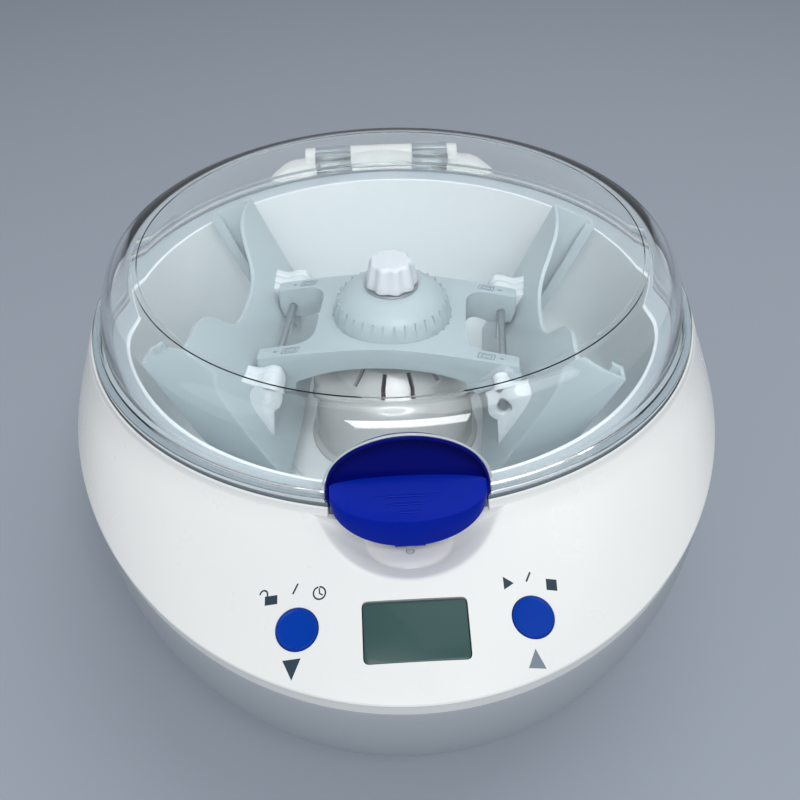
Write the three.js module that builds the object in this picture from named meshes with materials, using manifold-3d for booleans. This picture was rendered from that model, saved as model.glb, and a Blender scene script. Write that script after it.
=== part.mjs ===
// Benchtop microplate centrifuge: an egg-shaped two-part housing with a round
// bowl, a clear domed lid on a rear hinge, and a rotor with two swinging plate
// carriers. Lengths are in millimetres, +Z is up and the user stands at -Y.
import * as THREE from 'three';
import { mergeVertices } from 'three/addons/utils/BufferGeometryUtils.js';
import Module from 'manifold-3d';

const wasm = await Module();
wasm.setup();

// Driving dimensions

const run = 0.3;                 // gap between pieces that touch
const overrun = 40;              // how far a cutter passes what it cuts
const plate = { length: 127.76, width: 85.48, height: 14.35 };
const bowl = {
  sideClear: 4.83, floorClear: 9.805, wall: 2.5, flangeWidth: 11.5, draft: 3.5, bend: 22, floorIn: 21,
  hole: 35, grooveRadius: 63, grooveWidth: 2.4, grooveDepth: 1.1,
};
const body = {
  foot: 5, wall: 3, underBowl: 27, side: 26, frontMargin: 23, rear: 18, widest: 5,
  lipRise: 2.1, lipWidth: 1.1, lipFoot: 17.8, panelDrop: 2, edgeDrop: 23, band: 7, bandInset: 1,
  baseSide: -4, baseFront: 34, baseRear: -6,
};
const lid = {
  reach: 15.4, rise: 3.6, flange: 2, step: 1.2, stepWidth: 2.8, foot: 10.5, shoulder: 7.8,
  shoulderRise: 35.3, crownIn: 6, crownRise: 34.5, top: 39.7, wall: 2.5, inside: 7.2, rearFlat: 12.4,
};
const hinge = {
  reach: 19.5, rise: 9, pin: 2, knuckle: 6.4, knuckleWidth: 20.6, knuckleX: 29,
  ear: 5.4, earWidth: 6, humpTop: 8, humpReach: 26.5, humpDrop: 5, topHalf: 56, footHalf: 71,
  arm: 6, armFront: 2, armRise: 4.1, front: 10,
};
const latch = {
  halfWidth: 30.6, halfHeight: 20, reach: 14.5, rise: 10.5, faceAngle: 34.9, dish: 12, skin: 2,
  rimProud: 0.8, pinReach: 14, pinRise: 4.2, pin: 1.5, pinHalf: 28, tongue: 7, tongueDepth: 4,
  hookDrop: 12.3, strikeHalf: 9, strike: 1.9, hookPlay: 1.1, gap: 34,
};
const lever = { heel: 7, tip: 29, top: 10.6, drop: 6 };
const scoop = { halfWidth: 33, reach: 23, depth: 11.5, wall: 3 };
const display = {
  width: 36.4, height: 21.4, corner: 2.2, clear: 23.5, sink: 1.2, glass: 2.8, play: 0.3,
};
const button = {
  x: 40.4, nearer: 3.5, radius: 7.3, proud: 0.9, play: 0.3, collar: 1.1, skirt: 4.8, stem: 2.4,
};
const board = {
  margin: 5.6, depth: 25, inward: 2, thickness: 1.6, below: 14.2, switchRadius: 3.2, travel: 1.5,
};
const solenoid = { inHook: 1.4, width: 20, height: 26, plunger: 1.3, travel: 3, below: 18.4 };
const post = { x: 50, reach: 2, radius: 5, split: 46, screw: 1.6, screwHead: 3 };
const motor = {
  radius: 29, top: 54, floorClear: 7, plateRadius: 52, plate: 3, plateRise: 18, nose: 12, noseHeight: 4.4,
  bore: 4.4,
};
const cover = {
  radius: 41.5, footReach: 3, footRise: 1.6, shoulder: 58, top: 45, crownIn: 13.5, hole: 9, wall: 2.4,
  slots: 24, slotWidth: 2, slotHeight: 7, slotDrop: 62.5,
};
const mount = { radius: 6.5, circle: 42, bore: 2.3, boss: 6, screw: 2, head: 4, headHeight: 3 };
const foot = { radius: 9, sideIn: 50, frontIn: 24, rearIn: 48, taper: 1.5 };
const supply = { sideIn: 42, length: 66, width: 42, thickness: 1.6, post: 5, postRadius: 3, block: 17 };
const bay = { halfWidth: 24, rise: 12, halfHeight: 10 };
const jack = {
  x: 12, width: 12, height: 11, depth: 13, lip: 1.5, lipWidth: 1, bore: 4, boreDepth: 9, pin: 1,
};
const rocker = {
  x: 10, width: 19, height: 13, depth: 13, frame: 1.6, proud: 1.4, axle: 1.2, tilt: 8,
};
const shaft = { radius: 4, bottom: 60, top: 12 };
const rotor = {
  turn: -7, halfWidth: 33, arm: 8, notchX: 36, notchCorner: 7, crownX: 33, crown: 9,
  endTop: 15, endBottom: 31, arch: 21, archX: 40, collar: 11, collarHeight: 12,
};
const rod = { x: 54.4, drop: 24.8, radius: 2, play: 0.15 };
const hub = { radius: 29, band: 4.6, shoulder: 24.5, shoulderRise: 10, top: 15.2, seat: 13 };
const washer = { radius: 14.8, height: 0.9 };
const knob = { base: 12.4, top: 10.2, height: 12.6, lobes: 9, lobe: 0.7, roof: 3 };
const carrier = {
  wall: 2, tilt: 22.5, offset: 8.3, above: 47.5, endPlay: 1.12, depthPlay: 2.52, pocketPlay: 4.65,
  lip: 9, barb: 5, notchHalf: 46, notchDepth: 23.5, lugInner: 33.4, lugWidth: 16, lugRadius: 7,
  counterbore: 3.5, counterboreDepth: 3.2, gusset: 24, lugRise: 12.5, draft: 0.2,
};

// Outlines in shares of the sizes above
const panelShares = [0, 0.3, 0.55, 0.75, 0.9, 1];
const crownShares = [0.92, 0.08];
const crownPower = 4;
const tubShares = [1, 0.85, 0.68, 0.5, 0.32, 0.15, 0];
const tubBulgeShare = 1.28;
const domeShares = [0.66, 0.33, 0];
const capShares = [[0, 1], [0.55, 0.85], [0.9, 0.45], [1, 0]];
const leverTopShares = [[0, 1], [0.32, 0.85], [0.68, 0.58], [1, 0.22], [1, 0]];
const leverUnderShares = [[0.23, 0.47], [0.08, 0.735]];
const leverBackShare = 0.446;
const noseShare = 1.2;
const archShare = 0.27;
const notchShares = [
  [-1, 0], [-0.72, 0.03], [-0.5, 0.16], [-0.36, 0.5], [-0.22, 0.83], [0, 1],
  [0.22, 0.83], [0.36, 0.5], [0.5, 0.16], [0.72, 0.03], [1, 0],
];

// Faces around a full turn, and the faces of small round pieces
const turnSteps = 36;
const smallSteps = 16;
const roundSteps = 24;
const humpSteps = 12;

const degrees = (angle) => THREE.MathUtils.degToRad(angle);
const mix = (a, b, share) => a + (b - a) * share;

// The carriers hold a plate on edge, and the bowl leaves room for them as they lean at rest

const lean = degrees(carrier.tilt);
const carrierHalf = plate.length / 2 + carrier.endPlay + carrier.wall;
const carrierFront = carrier.offset + 2 * carrier.wall + plate.height + carrier.pocketPlay;
const carrierLow = carrier.above - plate.width - carrier.depthPlay;
const cornerRise = (rod.drop + carrierFront * Math.sin(lean)) / Math.cos(lean);
const cornerReach = rod.x + carrierFront * Math.cos(lean) + cornerRise * Math.sin(lean);
const bowlRadius = Math.hypot(cornerReach, carrierHalf) + bowl.sideClear;
const lowCorner = rod.drop - carrierLow * Math.cos(lean) + carrierFront * Math.sin(lean);
const bowlDepth = lowCorner + bowl.floorClear;

// Places outside the bowl's rim, and heights above the table

const beyond = (reach) => bowlRadius + reach;
const floorZ = body.foot + body.wall;
const bowlFloor = floorZ + body.underBowl;
const rim = bowlFloor + bowlDepth;
const below = (drop) => rim - drop;
const lipTop = rim + body.lipRise;
const lipInner = beyond(lid.reach);
const panelTop = below(body.panelDrop);
const panelRadius = beyond(body.lipFoot);
const edgeZ = below(body.edgeDrop);
const seamZ = edgeZ - body.band;
const leverBack = panelRadius + latch.strike + 3 * run;
const solenoidY = leverBack + solenoid.inHook;
const displayY = solenoidY + solenoid.width / 2 + display.clear;
const buttonY = displayY - button.nearer;
const edgeSizes = [beyond(body.side), displayY + body.frontMargin, beyond(body.rear)];
const baseSizes = [body.baseSide, body.baseFront, body.baseRear].map(beyond);
const lidRadius = beyond(lid.reach);
const lidFoot = rim + lid.rise;
const ledgeTop = below(bowl.wall + run);
const ledgeInner = bowlRadius + bowl.wall + 2 * run;
const hingeY = beyond(hinge.reach);
const hingeZ = rim + hinge.rise;
const hingeHalf = hinge.knuckleX + hinge.knuckleWidth / 2 + run + hinge.earWidth;

// Shape helpers

// The surface of a closed mesh, turned so that its faces point outwards
function volumeOf(geometry) {
  const p = geometry.attributes.position;
  const index = geometry.index.array;
  const [a, b, c] = [new THREE.Vector3(), new THREE.Vector3(), new THREE.Vector3()];
  let sum = 0;
  for (let i = 0; i < index.length; i += 3) {
    a.fromBufferAttribute(p, index[i]);
    b.fromBufferAttribute(p, index[i + 1]);
    c.fromBufferAttribute(p, index[i + 2]);
    sum += a.dot(b.cross(c));
  }
  return sum;
}

function solid(geometry) {
  const bare = geometry.clone();
  bare.deleteAttribute('normal');
  if (bare.attributes.uv) bare.deleteAttribute('uv');
  const merged = mergeVertices(bare, 1e-4);
  const triVerts = Uint32Array.from(merged.index.array);
  if (volumeOf(merged) < 0) triVerts.reverse();
  const vertProperties = Float32Array.from(merged.attributes.position.array);
  const mesh = new wasm.Mesh({ numProp: 3, vertProperties, triVerts });
  mesh.merge();
  return new wasm.Manifold(mesh);
}

const asSolid = (shape) => (shape.isBufferGeometry ? solid(shape) : shape);
const join = (first, ...rest) => rest.reduce((sum, part) => sum.add(asSolid(part)), asSolid(first));
const cut = (first, ...rest) => rest.reduce((sum, part) => sum.subtract(asSolid(part)), asSolid(first));
const common = (first, ...rest) => rest.reduce((sum, part) => sum.intersect(asSolid(part)), asSolid(first));

function surface(shape) {
  if (shape.isBufferGeometry) return surface(solid(shape));
  const mesh = shape.getMesh();
  const geometry = new THREE.BufferGeometry();
  geometry.setAttribute('position', new THREE.BufferAttribute(Float32Array.from(mesh.vertProperties), 3));
  geometry.setIndex(new THREE.BufferAttribute(Uint32Array.from(mesh.triVerts), 1));
  geometry.computeVertexNormals();
  return geometry;
}

// A block between two corners
function block(low, high) {
  const size = high.map((value, i) => value - low[i]);
  const middle = high.map((value, i) => (value + low[i]) / 2);
  return new THREE.BoxGeometry(...size).translate(...middle);
}

// An upright cylinder or cone between two heights
function column(radius, low, high, steps = smallSteps, topRadius = radius) {
  const geometry = new THREE.CylinderGeometry(topRadius, radius, high - low, steps);
  return geometry.rotateX(Math.PI / 2).translate(0, 0, (low + high) / 2);
}

// A cylinder along X or Y
const axleX = (radius, low, high) => column(radius, low, high).rotateY(Math.PI / 2);
const axleY = (radius, low, high) => column(radius, -high, -low).rotateX(Math.PI / 2);

// A turned piece: the profile is a list of [radius, height]
function turned(profile, steps = turnSteps) {
  const points = profile.map(([r, z]) => new THREE.Vector2(r, z));
  if (profile[0][0] > 0 || profile.at(-1)[0] > 0) points.push(points[0].clone());
  return new THREE.LatheGeometry(points, steps).rotateX(Math.PI / 2);
}

// An outline of [x, y] points, extruded up from one height to another
function prism(outline, low, high) {
  const points = (list) => list.map(([x, y]) => new THREE.Vector2(x, y));
  const shape = Array.isArray(outline) ? new THREE.Shape(points(outline)) : outline;
  const options = { depth: high - low, bevelEnabled: false, curveSegments: 4 };
  return new THREE.ExtrudeGeometry(shape, options).translate(0, 0, low);
}

// An outline of [x, z] points along Y, and one of [y, z] points along X
const prismY = (outline, low, high) => prism(outline, -high, -low).rotateX(Math.PI / 2);
function prismX(outline, low, high) {
  const [x, y, z] = [new THREE.Vector3(1, 0, 0), new THREE.Vector3(0, 1, 0), new THREE.Vector3(0, 0, 1)];
  return prism(outline, low, high).applyMatrix4(new THREE.Matrix4().makeBasis(y, z, x));
}

// Points on a quadratic curve from start over bend to end
function curve(start, bend, end, steps) {
  const path = new THREE.QuadraticBezierCurve(...[start, bend, end].map((p) => new THREE.Vector2(...p)));
  return path.getPoints(steps).map((p) => [p.x, p.y]);
}

// One level outline of the egg: its half width, its reach to the front and to the rear, and the
// place of its widest line
function egg([halfWidth, front, rear], z, widest = 0) {
  return Array.from({ length: turnSteps }, (_, i) => {
    const angle = (i / turnSteps) * 2 * Math.PI;
    const reach = Math.sin(angle) < 0 ? front + widest : rear - widest;
    return new THREE.Vector3(halfWidth * Math.cos(angle), widest + reach * Math.sin(angle), z);
  });
}
const ring = (radius, z) => egg([radius, radius, radius], z);

// A skin over level outlines. Closed on itself, or capped at both ends.
function loft(rings, capped) {
  const count = rings[0].length;
  const points = rings.flat();
  const index = [];
  const spans = capped ? rings.length - 1 : rings.length;
  for (let r = 0; r < spans; r += 1) {
    const next = (r + 1) % rings.length;
    for (let i = 0; i < count; i += 1) {
      const j = (i + 1) % count;
      const [a, b, c, d] = [r * count + i, r * count + j, next * count + j, next * count + i];
      index.push(a, b, c, a, c, d);
    }
  }
  if (capped) {
    for (const [row, turn] of [[0, true], [rings.length - 1, false]]) {
      const centre = new THREE.Vector3();
      rings[row].forEach((p) => centre.addScaledVector(p, 1 / count));
      points.push(centre);
      for (let i = 0; i < count; i += 1) {
        const pair = [row * count + i, row * count + ((i + 1) % count)];
        if (turn) pair.reverse();
        index.push(...pair, points.length - 1);
      }
    }
  }
  const geometry = new THREE.BufferGeometry().setFromPoints(points);
  geometry.setIndex(index);
  return geometry;
}

// Moves a shape into a frame that is given by a place and a rotation
function placed(geometry, place, rotation) {
  const turn = new THREE.Matrix4().makeRotationFromQuaternion(rotation);
  return geometry.applyMatrix4(turn).translate(place.x, place.y, place.z);
}

// Looks

const finish = (color, roughness, metalness = 0, extra = {}) =>
  new THREE.MeshStandardMaterial({ color, roughness, metalness, ...extra });
const looks = {
  shell: finish('#e9e9ee', 0.35),
  base: finish('#d5d6da', 0.45),
  bowl: finish('#d5dada', 0.4),
  clear: finish('#cfdbe0', 0.08, 0, { transparent: true, opacity: 0.35 }),
  rubber: finish('#2b2e31', 0.85),
  knuckle: finish('#9fb0b8', 0.3),
  grip: finish('#0028a8', 0.3),
  key: finish('#0050b8', 0.35),
  glass: finish('#42605c', 0.2),
  electronics: finish('#1f5a3c', 0.6),
  dark: finish('#26292c', 0.5),
  steel: finish('#aab0b4', 0.3, 1),
  rotor: finish('#bfd0d4', 0.5),
  carrier: finish('#b9cbcf', 0.5),
  knob: finish('#dde3ea', 0.4),
};

const machine = new THREE.Group();
function piece(parent, name, shape, look) {
  const mesh = new THREE.Mesh(surface(shape), look);
  mesh.name = name;
  parent.add(mesh);
  return mesh;
}

// The control panel falls away from the lip round the lid to the crisp edge

const crownFall = (share) => crownShares[0] * share + crownShares[1] * share ** crownPower;
const panelZ = (share) => mix(panelTop, edgeZ, crownFall(share));
function panelRing(share, inset = 0, lower = 0) {
  const sizes = edgeSizes.map((size) => mix(panelRadius, size, share) - inset);
  return egg(sizes, panelZ(share) - lower, body.widest * share);
}
function panelHeight(x, y) {
  let [low, high] = [0, 1];
  for (let i = 0; i < 40; i += 1) {
    const share = (low + high) / 2;
    const [width, front, rear] = edgeSizes.map((size) => mix(panelRadius, size, share));
    const dy = y - body.widest * share;
    const reach = dy < 0 ? front + body.widest * share : rear - body.widest * share;
    if ((x / width) ** 2 + (dy / reach) ** 2 > 1) low = share;
    else high = share;
  }
  return panelZ(low);
}
function panelFrame(x, y) {
  const step = button.radius / 2;
  const rise = (dx, dy) => panelHeight(x + dx, y + dy) - panelHeight(x - dx, y - dy);
  const normal = new THREE.Vector3(-rise(step, 0), -rise(0, step), 2 * step).normalize();
  const rotation = new THREE.Quaternion().setFromUnitVectors(new THREE.Vector3(0, 0, 1), normal);
  return { place: new THREE.Vector3(x, y, panelHeight(x, y)), rotation, normal };
}

// Upper shell: ledge under the bowl's flange, lip round the lid, panel, edge and band

function upperShell() {
  const t = body.wall;
  const outer = panelShares.map((share) => panelRing(share));
  const bandRing = (inset, z) => egg(edgeSizes.map((size) => size - inset), z, body.widest);
  const inner = panelShares.slice(1).reverse().map((share) => panelRing(share, t, t));
  return solid(loft([
    ring(ledgeInner, ledgeTop - t), ring(ledgeInner, ledgeTop), ring(lipInner, ledgeTop),
    ring(lipInner + run / 2, panelTop), ...outer,
    bandRing(body.bandInset, seamZ), bandRing(body.bandInset + t, seamZ), ...inner,
    ring(panelRadius - t, ledgeTop - t),
  ], false));
}
// A raised lip round the lid, open at the front for the latch
function makeLip() {
  const lip = turned([
    [lipInner, ledgeTop - run], [lipInner + run / 2, lipTop], [lipInner + body.lipWidth, lipTop],
    [panelRadius - run, panelTop], [panelRadius - run, ledgeTop - run],
  ]);
  return cut(lip, block([-latch.gap, -2 * panelRadius, panelTop], [latch.gap, 0, rim + overrun]));
}
function filledBody() {
  return solid(loft([
    ring(panelRadius, seamZ / 2), ...[...panelShares].reverse().map((share) => panelRing(share)),
  ], true));
}
function scoopBall(grow) {
  const ball = new THREE.SphereGeometry(1, 24, 12);
  ball.scale(scoop.halfWidth + grow, scoop.reach + grow, scoop.depth + grow);
  return solid(ball.translate(0, -panelRadius, panelTop));
}
const displayFrame = panelFrame(0, -displayY);
const buttonFrames = {
  left: panelFrame(-button.x, -buttonY), right: panelFrame(button.x, -buttonY),
};
function roundedPlate(width, height, corner, low, high) {
  const [x, y] = [width / 2, height / 2];
  const shape = new THREE.Shape();
  shape.moveTo(-x + corner, -y);
  shape.lineTo(x - corner, -y).absarc(x - corner, -y + corner, corner, -Math.PI / 2, 0);
  shape.lineTo(x, y - corner).absarc(x - corner, y - corner, corner, 0, Math.PI / 2);
  shape.lineTo(-x + corner, y).absarc(-x + corner, y - corner, corner, Math.PI / 2, Math.PI);
  shape.lineTo(-x, -y + corner).absarc(-x + corner, -y + corner, corner, Math.PI, 1.5 * Math.PI);
  return prism(shape, low, high);
}
function inFrame(geometry, frame) {
  return placed(geometry, frame.place, frame.rotation);
}

// Raised hinge block at the rear, with ears on both sides of each of the lid's knuckles
function humpRing(rise, half, share) {
  const corner = Math.sqrt(panelRadius ** 2 - hinge.footHalf ** 2);
  const [edgeHalf, , edgeRear] = edgeSizes;
  const rear = Array.from({ length: humpSteps + 1 }, (_, i) => {
    const x = half * ((2 * i) / humpSteps - 1);
    const bulged = mix(beyond(hinge.humpReach), corner, (x / hinge.footHalf) ** 4);
    const edge = body.widest + (edgeRear - body.widest) * Math.sqrt(1 - (x / edgeHalf) ** 2);
    return new THREE.Vector3(x, mix(edge - run, bulged, share), rim + rise);
  });
  const front = [half, -half].map((x) => new THREE.Vector3(x, bowlRadius - hinge.front, rim + rise));
  return [...rear, ...front];
}
function makeHinge() {
  const mound = solid(loft([
    humpRing(-body.edgeDrop, hinge.footHalf, 0), humpRing(-hinge.humpDrop, hinge.footHalf, 1),
    humpRing(0, hinge.footHalf, 1), humpRing(hinge.humpTop, hinge.topHalf, 1),
  ], true));
  const barrel = axleX(hinge.ear, -hingeHalf, hingeHalf).translate(0, hingeY, hingeZ);
  const web = block([-hingeHalf, hingeY - hinge.ear, rim], [hingeHalf, hingeY + hinge.ear, hingeZ]);
  let hump = cut(join(mound, barrel, web), column(lipInner + run, 0, rim + overrun, turnSteps));
  const half = hinge.knuckleWidth / 2 + run;
  const [slotLow, high] = [hingeZ - hinge.knuckle - 2 * run, rim + overrun];
  for (const x of [-hinge.knuckleX, hinge.knuckleX]) {
    hump = cut(hump, block([x - half, 0, slotLow], [x + half, 2 * hingeY, high]));
  }
  const middle = hinge.knuckleX - half - hinge.earWidth;
  hump = cut(hump, block([-middle, 0, hingeZ - hinge.pin - 2 * run], [middle, 2 * hingeY, high]));
  const bore = axleX(hinge.pin + rod.play, -hingeHalf + run, hingeHalf + overrun);
  return cut(hump, bore.translate(0, hingeY, hingeZ));
}

function makeTopShell() {
  const dent = cut(scoopBall(0), column(panelRadius, 0, rim + overrun, turnSteps));
  const cup = cut(
    common(scoopBall(scoop.wall), filledBody()),
    column(panelRadius - scoop.wall, 0, rim, turnSteps),
    column(lipInner + run, ledgeTop, rim + overrun, turnSteps),
  );
  let shell = cut(join(upperShell(), makeLip(), cup, makeHinge()), dent);
  const window = roundedPlate(display.width, display.height, display.corner, -overrun / 4, overrun);
  shell = cut(shell, inFrame(window, displayFrame));
  for (const frame of Object.values(buttonFrames)) {
    const well = column(button.radius + button.play, -overrun / 4, overrun, roundSteps);
    shell = cut(shell, inFrame(well, frame));
  }
  shell = cut(shell, column(solenoid.plunger + run, 0, rim, smallSteps).translate(0, -solenoidY, 0));
  const bossTop = ledgeTop - body.wall / 2;
  for (const side of [-1, 1]) {
    const boss = column(post.radius, below(post.split) + run, ledgeTop).translate(side * post.x, -postY, 0);
    const reach = cut(common(boss, filledBody()), column(panelRadius - run, bossTop, rim, turnSteps));
    const hole = column(post.screw, 0, below(post.split) + 3 * post.radius);
    shell = cut(join(shell, reach), hole.translate(side * post.x, -postY, 0));
  }
  return shell;
}

// Lower shell: a tapered tub whose sides stay steep under the seam and then draw in

function tubRing(share, inset, z) {
  const drawn = share - tubBulgeShare * share * (1 - share);
  const sizes = edgeSizes.map((high, i) => mix(high - body.bandInset, baseSizes[i], drawn) - inset);
  return egg(sizes, z, mix(body.widest, 0, drawn));
}
function makeBaseTray() {
  const top = seamZ - run;
  const outer = tubShares.map((share) => tubRing(share, 0, mix(top, body.foot, share)));
  const inner = [...tubShares].reverse().map((share) => tubRing(share, body.wall, mix(top, floorZ, share)));
  let tub = solid(loft([...outer, ...inner], true));
  for (const [x, y] of mountPlaces) {
    const boss = column(mount.radius + mount.bore, floorZ - run, floorZ + mount.boss);
    tub = join(tub, boss.translate(x, y, 0));
  }
  for (const [x, y] of mountPlaces) {
    const drill = join(
      column(mount.bore, 0, floorZ + overrun),
      column(mount.head + run, 0, body.foot + mount.headHeight + run),
    );
    tub = cut(tub, drill.translate([x, y, 0]));
  }
  for (const side of [-1, 1]) {
    const stand = column(post.radius, floorZ - run, below(post.split)).translate(side * post.x, -postY, 0);
    const drill = join(
      column(post.screw + run / 2, 0, rim),
      column(post.screwHead + run, 0, below(post.split) - post.radius),
    );
    tub = cut(join(tub, stand), drill.translate([side * post.x, -postY, 0]));
  }
  // A flat bay at the rear holds the power socket and the switch
  const bayBox = (grow, from) => block(
    [-bay.halfWidth - grow, from, bayZ - bay.halfHeight - grow],
    [bay.halfWidth + grow, edgeSizes[2] + overrun, bayZ + bay.halfHeight + grow],
  );
  tub = join(tub, common(bayBox(body.wall, bayY - body.wall), solid(loft([...outer].reverse(), true))));
  const opening = (x, width, height) => block(
    [x - width / 2 - run, bayY - overrun / 2, bayZ - height / 2 - run],
    [x + width / 2 + run, bayY + overrun, bayZ + height / 2 + run],
  );
  tub = cut(tub, bayBox(0, bayY), opening(-jack.x, jack.width, jack.height));
  return cut(tub, opening(rocker.x, rocker.width, rocker.height));
}
const bayZ = floorZ + bay.rise;
const [, , bayY] = baseSizes;
const postY = beyond(post.reach);
const mountPlaces = [90, 210, 330].map((angle) => [
  mount.circle * Math.cos(degrees(angle)), mount.circle * Math.sin(degrees(angle)),
]);

piece(machine, 'top_shell', makeTopShell(), looks.shell);
piece(machine, 'base_tray', makeBaseTray(), looks.base);

const [footX, footFront, footRear] = [foot.sideIn, foot.frontIn, foot.rearIn].map((v) => bowlRadius - v);
for (const [name, x, y] of [
  ['foot_front_left', -footX, -footFront], ['foot_front_right', footX, -footFront],
  ['foot_rear_left', -footX, footRear], ['foot_rear_right', footX, footRear],
]) {
  const pad = column(foot.radius - foot.taper, 0, body.foot - run, roundSteps, foot.radius);
  piece(machine, name, pad, looks.rubber).position.set(x, y, 0);
}

['left', 'right'].forEach((side, i) => {
  const seat = below(post.split) - post.radius;
  const screw = join(
    column(post.screwHead, seat - 2 * post.screw, seat - run),
    column(post.screw - run, seat - post.screw, below(post.split) + 2 * post.radius),
  );
  piece(machine, `shell_screw_${side}`, screw, looks.steel).position.set((2 * i - 1) * post.x, -postY, 0);
});

// Bowl with its flange and floor groove

const flangeRadius = beyond(bowl.flangeWidth);
function makeBowl() {
  const t = bowl.wall;
  const floor = bowlFloor;
  const groove = [
    [bowl.grooveRadius + bowl.grooveWidth / 2, floor], [bowl.grooveRadius, floor - bowl.grooveDepth],
    [bowl.grooveRadius - bowl.grooveWidth / 2, floor],
  ];
  const waist = bowlRadius - bowl.draft;
  const flat = bowlRadius - bowl.floorIn;
  const bend = floor + bowl.bend;
  const inside = curve([waist, bend], [waist - t, floor], [flat, floor], 4);
  const outside = curve([flat, floor - t], [waist, floor - t], [waist + t, bend], 3);
  return solid(turned([
    [bowlRadius, rim], ...inside, ...groove, [bowl.hole, floor], [bowl.hole, floor - t], ...outside,
    [bowlRadius + t, below(2 * t)], [bowlRadius + t, below(t)], [flangeRadius, below(t)],
    [flangeRadius, rim],
  ]));
}
piece(machine, 'bowl', makeBowl(), looks.bowl);

const gasketInner = flangeRadius + run;
const gasketOuter = lipInner - run;
const gasketRing = turned([
  [gasketInner, ledgeTop + run], [gasketOuter, ledgeTop + run], [gasketOuter, lidFoot - run / 2],
  [gasketInner, lidFoot - run / 2],
]);
piece(machine, 'rim_gasket', cut(
  gasketRing, block([-latch.gap, -2 * panelRadius, rim - run], [latch.gap, 0, rim + overrun]),
), looks.rubber);

// Motor, its plate on three rubber mounts, and the vented cover on the bowl's floor

const motorTop = below(motor.top);
const plateLow = floorZ + motor.plateRise;
piece(machine, 'motor_body', cut(
  join(column(motor.radius, floorZ + motor.floorClear, motorTop, roundSteps),
    column(motor.nose, motorTop, motorTop + motor.noseHeight)),
  column(motor.bore, below(shaft.bottom + run), rim),
), looks.dark);
piece(machine, 'motor_plate', mountPlaces.reduce(
  (disc, [x, y]) => cut(disc, column(mount.bore, 0, rim).translate(x, y, 0)),
  solid(turned([
    [motor.radius + run, plateLow], [motor.plateRadius, plateLow],
    [motor.plateRadius, plateLow + motor.plate], [motor.radius + run, plateLow + motor.plate],
  ], roundSteps)),
), looks.steel);
mountPlaces.forEach(([x, y], i) => {
  const low = floorZ + mount.boss + run;
  const high = plateLow - run;
  const waist = mount.radius - mount.bore / 2;
  const rubber = turned([
    [mount.bore, low], [mount.radius, low], [waist, (low + high) / 2], [mount.radius, high],
    [mount.bore, high],
  ], smallSteps);
  piece(machine, `motor_mount_${i + 1}`, rubber, looks.rubber).position.set(x, y, 0);
  const head = body.foot + mount.headHeight;
  const screw = join(
    column(mount.head, body.foot + run, head),
    column(mount.screw, head - run, plateLow + motor.plate),
  );
  piece(machine, `motor_screw_${i + 1}`, screw, looks.steel).position.set(x, y, 0);
});

function makeMotorCover() {
  const t = cover.wall;
  const floor = bowlFloor + run;
  const roof = below(cover.top);
  const shoulder = below(cover.shoulder);
  const wide = cover.radius;
  const crown = wide - cover.crownIn;
  const hem = wide + cover.footReach;
  const outer = curve([wide, shoulder], [wide, roof], [crown, roof], 4);
  const inner = curve([crown, roof - t], [wide - t, roof - t], [wide - t, shoulder], 3);
  let shell = solid(turned([
    [hem, floor], [hem, floor + cover.footRise], [wide, floor + 2 * cover.footRise],
    ...outer, [cover.hole, roof + t / 2], [cover.hole, roof - t], ...inner, [wide - t, floor],
  ], cover.slots));
  for (let i = 0; i < cover.slots; i += 1) {
    const slot = block(
      [crown, -cover.slotWidth / 2, below(cover.slotDrop)],
      [wide + t, cover.slotWidth / 2, below(cover.slotDrop) + cover.slotHeight],
    );
    shell = cut(shell, slot.rotateZ((i / cover.slots) * 2 * Math.PI));
  }
  return shell;
}
piece(machine, 'motor_cover', makeMotorCover(), looks.shell);

// Display, control board and buttons

const windowPlay = 2 * display.play;
const windowTop = -display.sink;
piece(machine, 'display_window', inFrame(roundedPlate(
  display.width - windowPlay, display.height - windowPlay, display.corner,
  windowTop - display.glass, windowTop,
), displayFrame), looks.glass);
const [moduleX, moduleY] = [display.width / 2 - display.corner, display.height / 2 - display.corner];
piece(machine, 'display_module', inFrame(block(
  [-moduleX, -moduleY, -board.below + run], [moduleX, moduleY, windowTop - display.glass - run],
), displayFrame), looks.dark);
function makeControlBoard() {
  const half = button.x + board.margin;
  let card = solid(inFrame(block(
    [-half, board.inward - board.depth / 2, -board.below - board.thickness],
    [half, board.inward + board.depth / 2, -board.below],
  ), displayFrame));
  for (const frame of Object.values(buttonFrames)) {
    const depth = button.skirt + button.collar + button.stem + board.travel;
    const key = inFrame(column(board.switchRadius, -depth - 2 * button.radius, -depth), frame);
    const under = inFrame(block(
      [-2 * half, -board.depth, -overrun], [2 * half, board.depth, -board.below - board.thickness / 2],
    ), displayFrame);
    card = join(card, cut(key, under));
  }
  return card;
}
piece(machine, 'control_board', makeControlBoard(), looks.electronics);
for (const [side, frame] of Object.entries(buttonFrames)) {
  const skirt = -button.skirt;
  const wide = button.radius + 4 * button.play;
  const cap = turned([
    ...capShares.map(([reach, rise]) => [button.radius * reach, button.proud * rise]),
    [button.radius, skirt], [wide, skirt], [wide, skirt - button.collar],
    [button.stem, skirt - button.collar],
    [button.stem, skirt - button.collar - button.stem], [0, skirt - button.collar - button.stem],
  ], roundSteps);
  const key = piece(machine, `button_${side}`, cap, looks.key);
  key.position.copy(frame.place);
  key.quaternion.copy(frame.rotation);
}

// Lid lock: solenoid under the scoop, its plunger, and the steel strike on the scoop's inner wall

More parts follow.
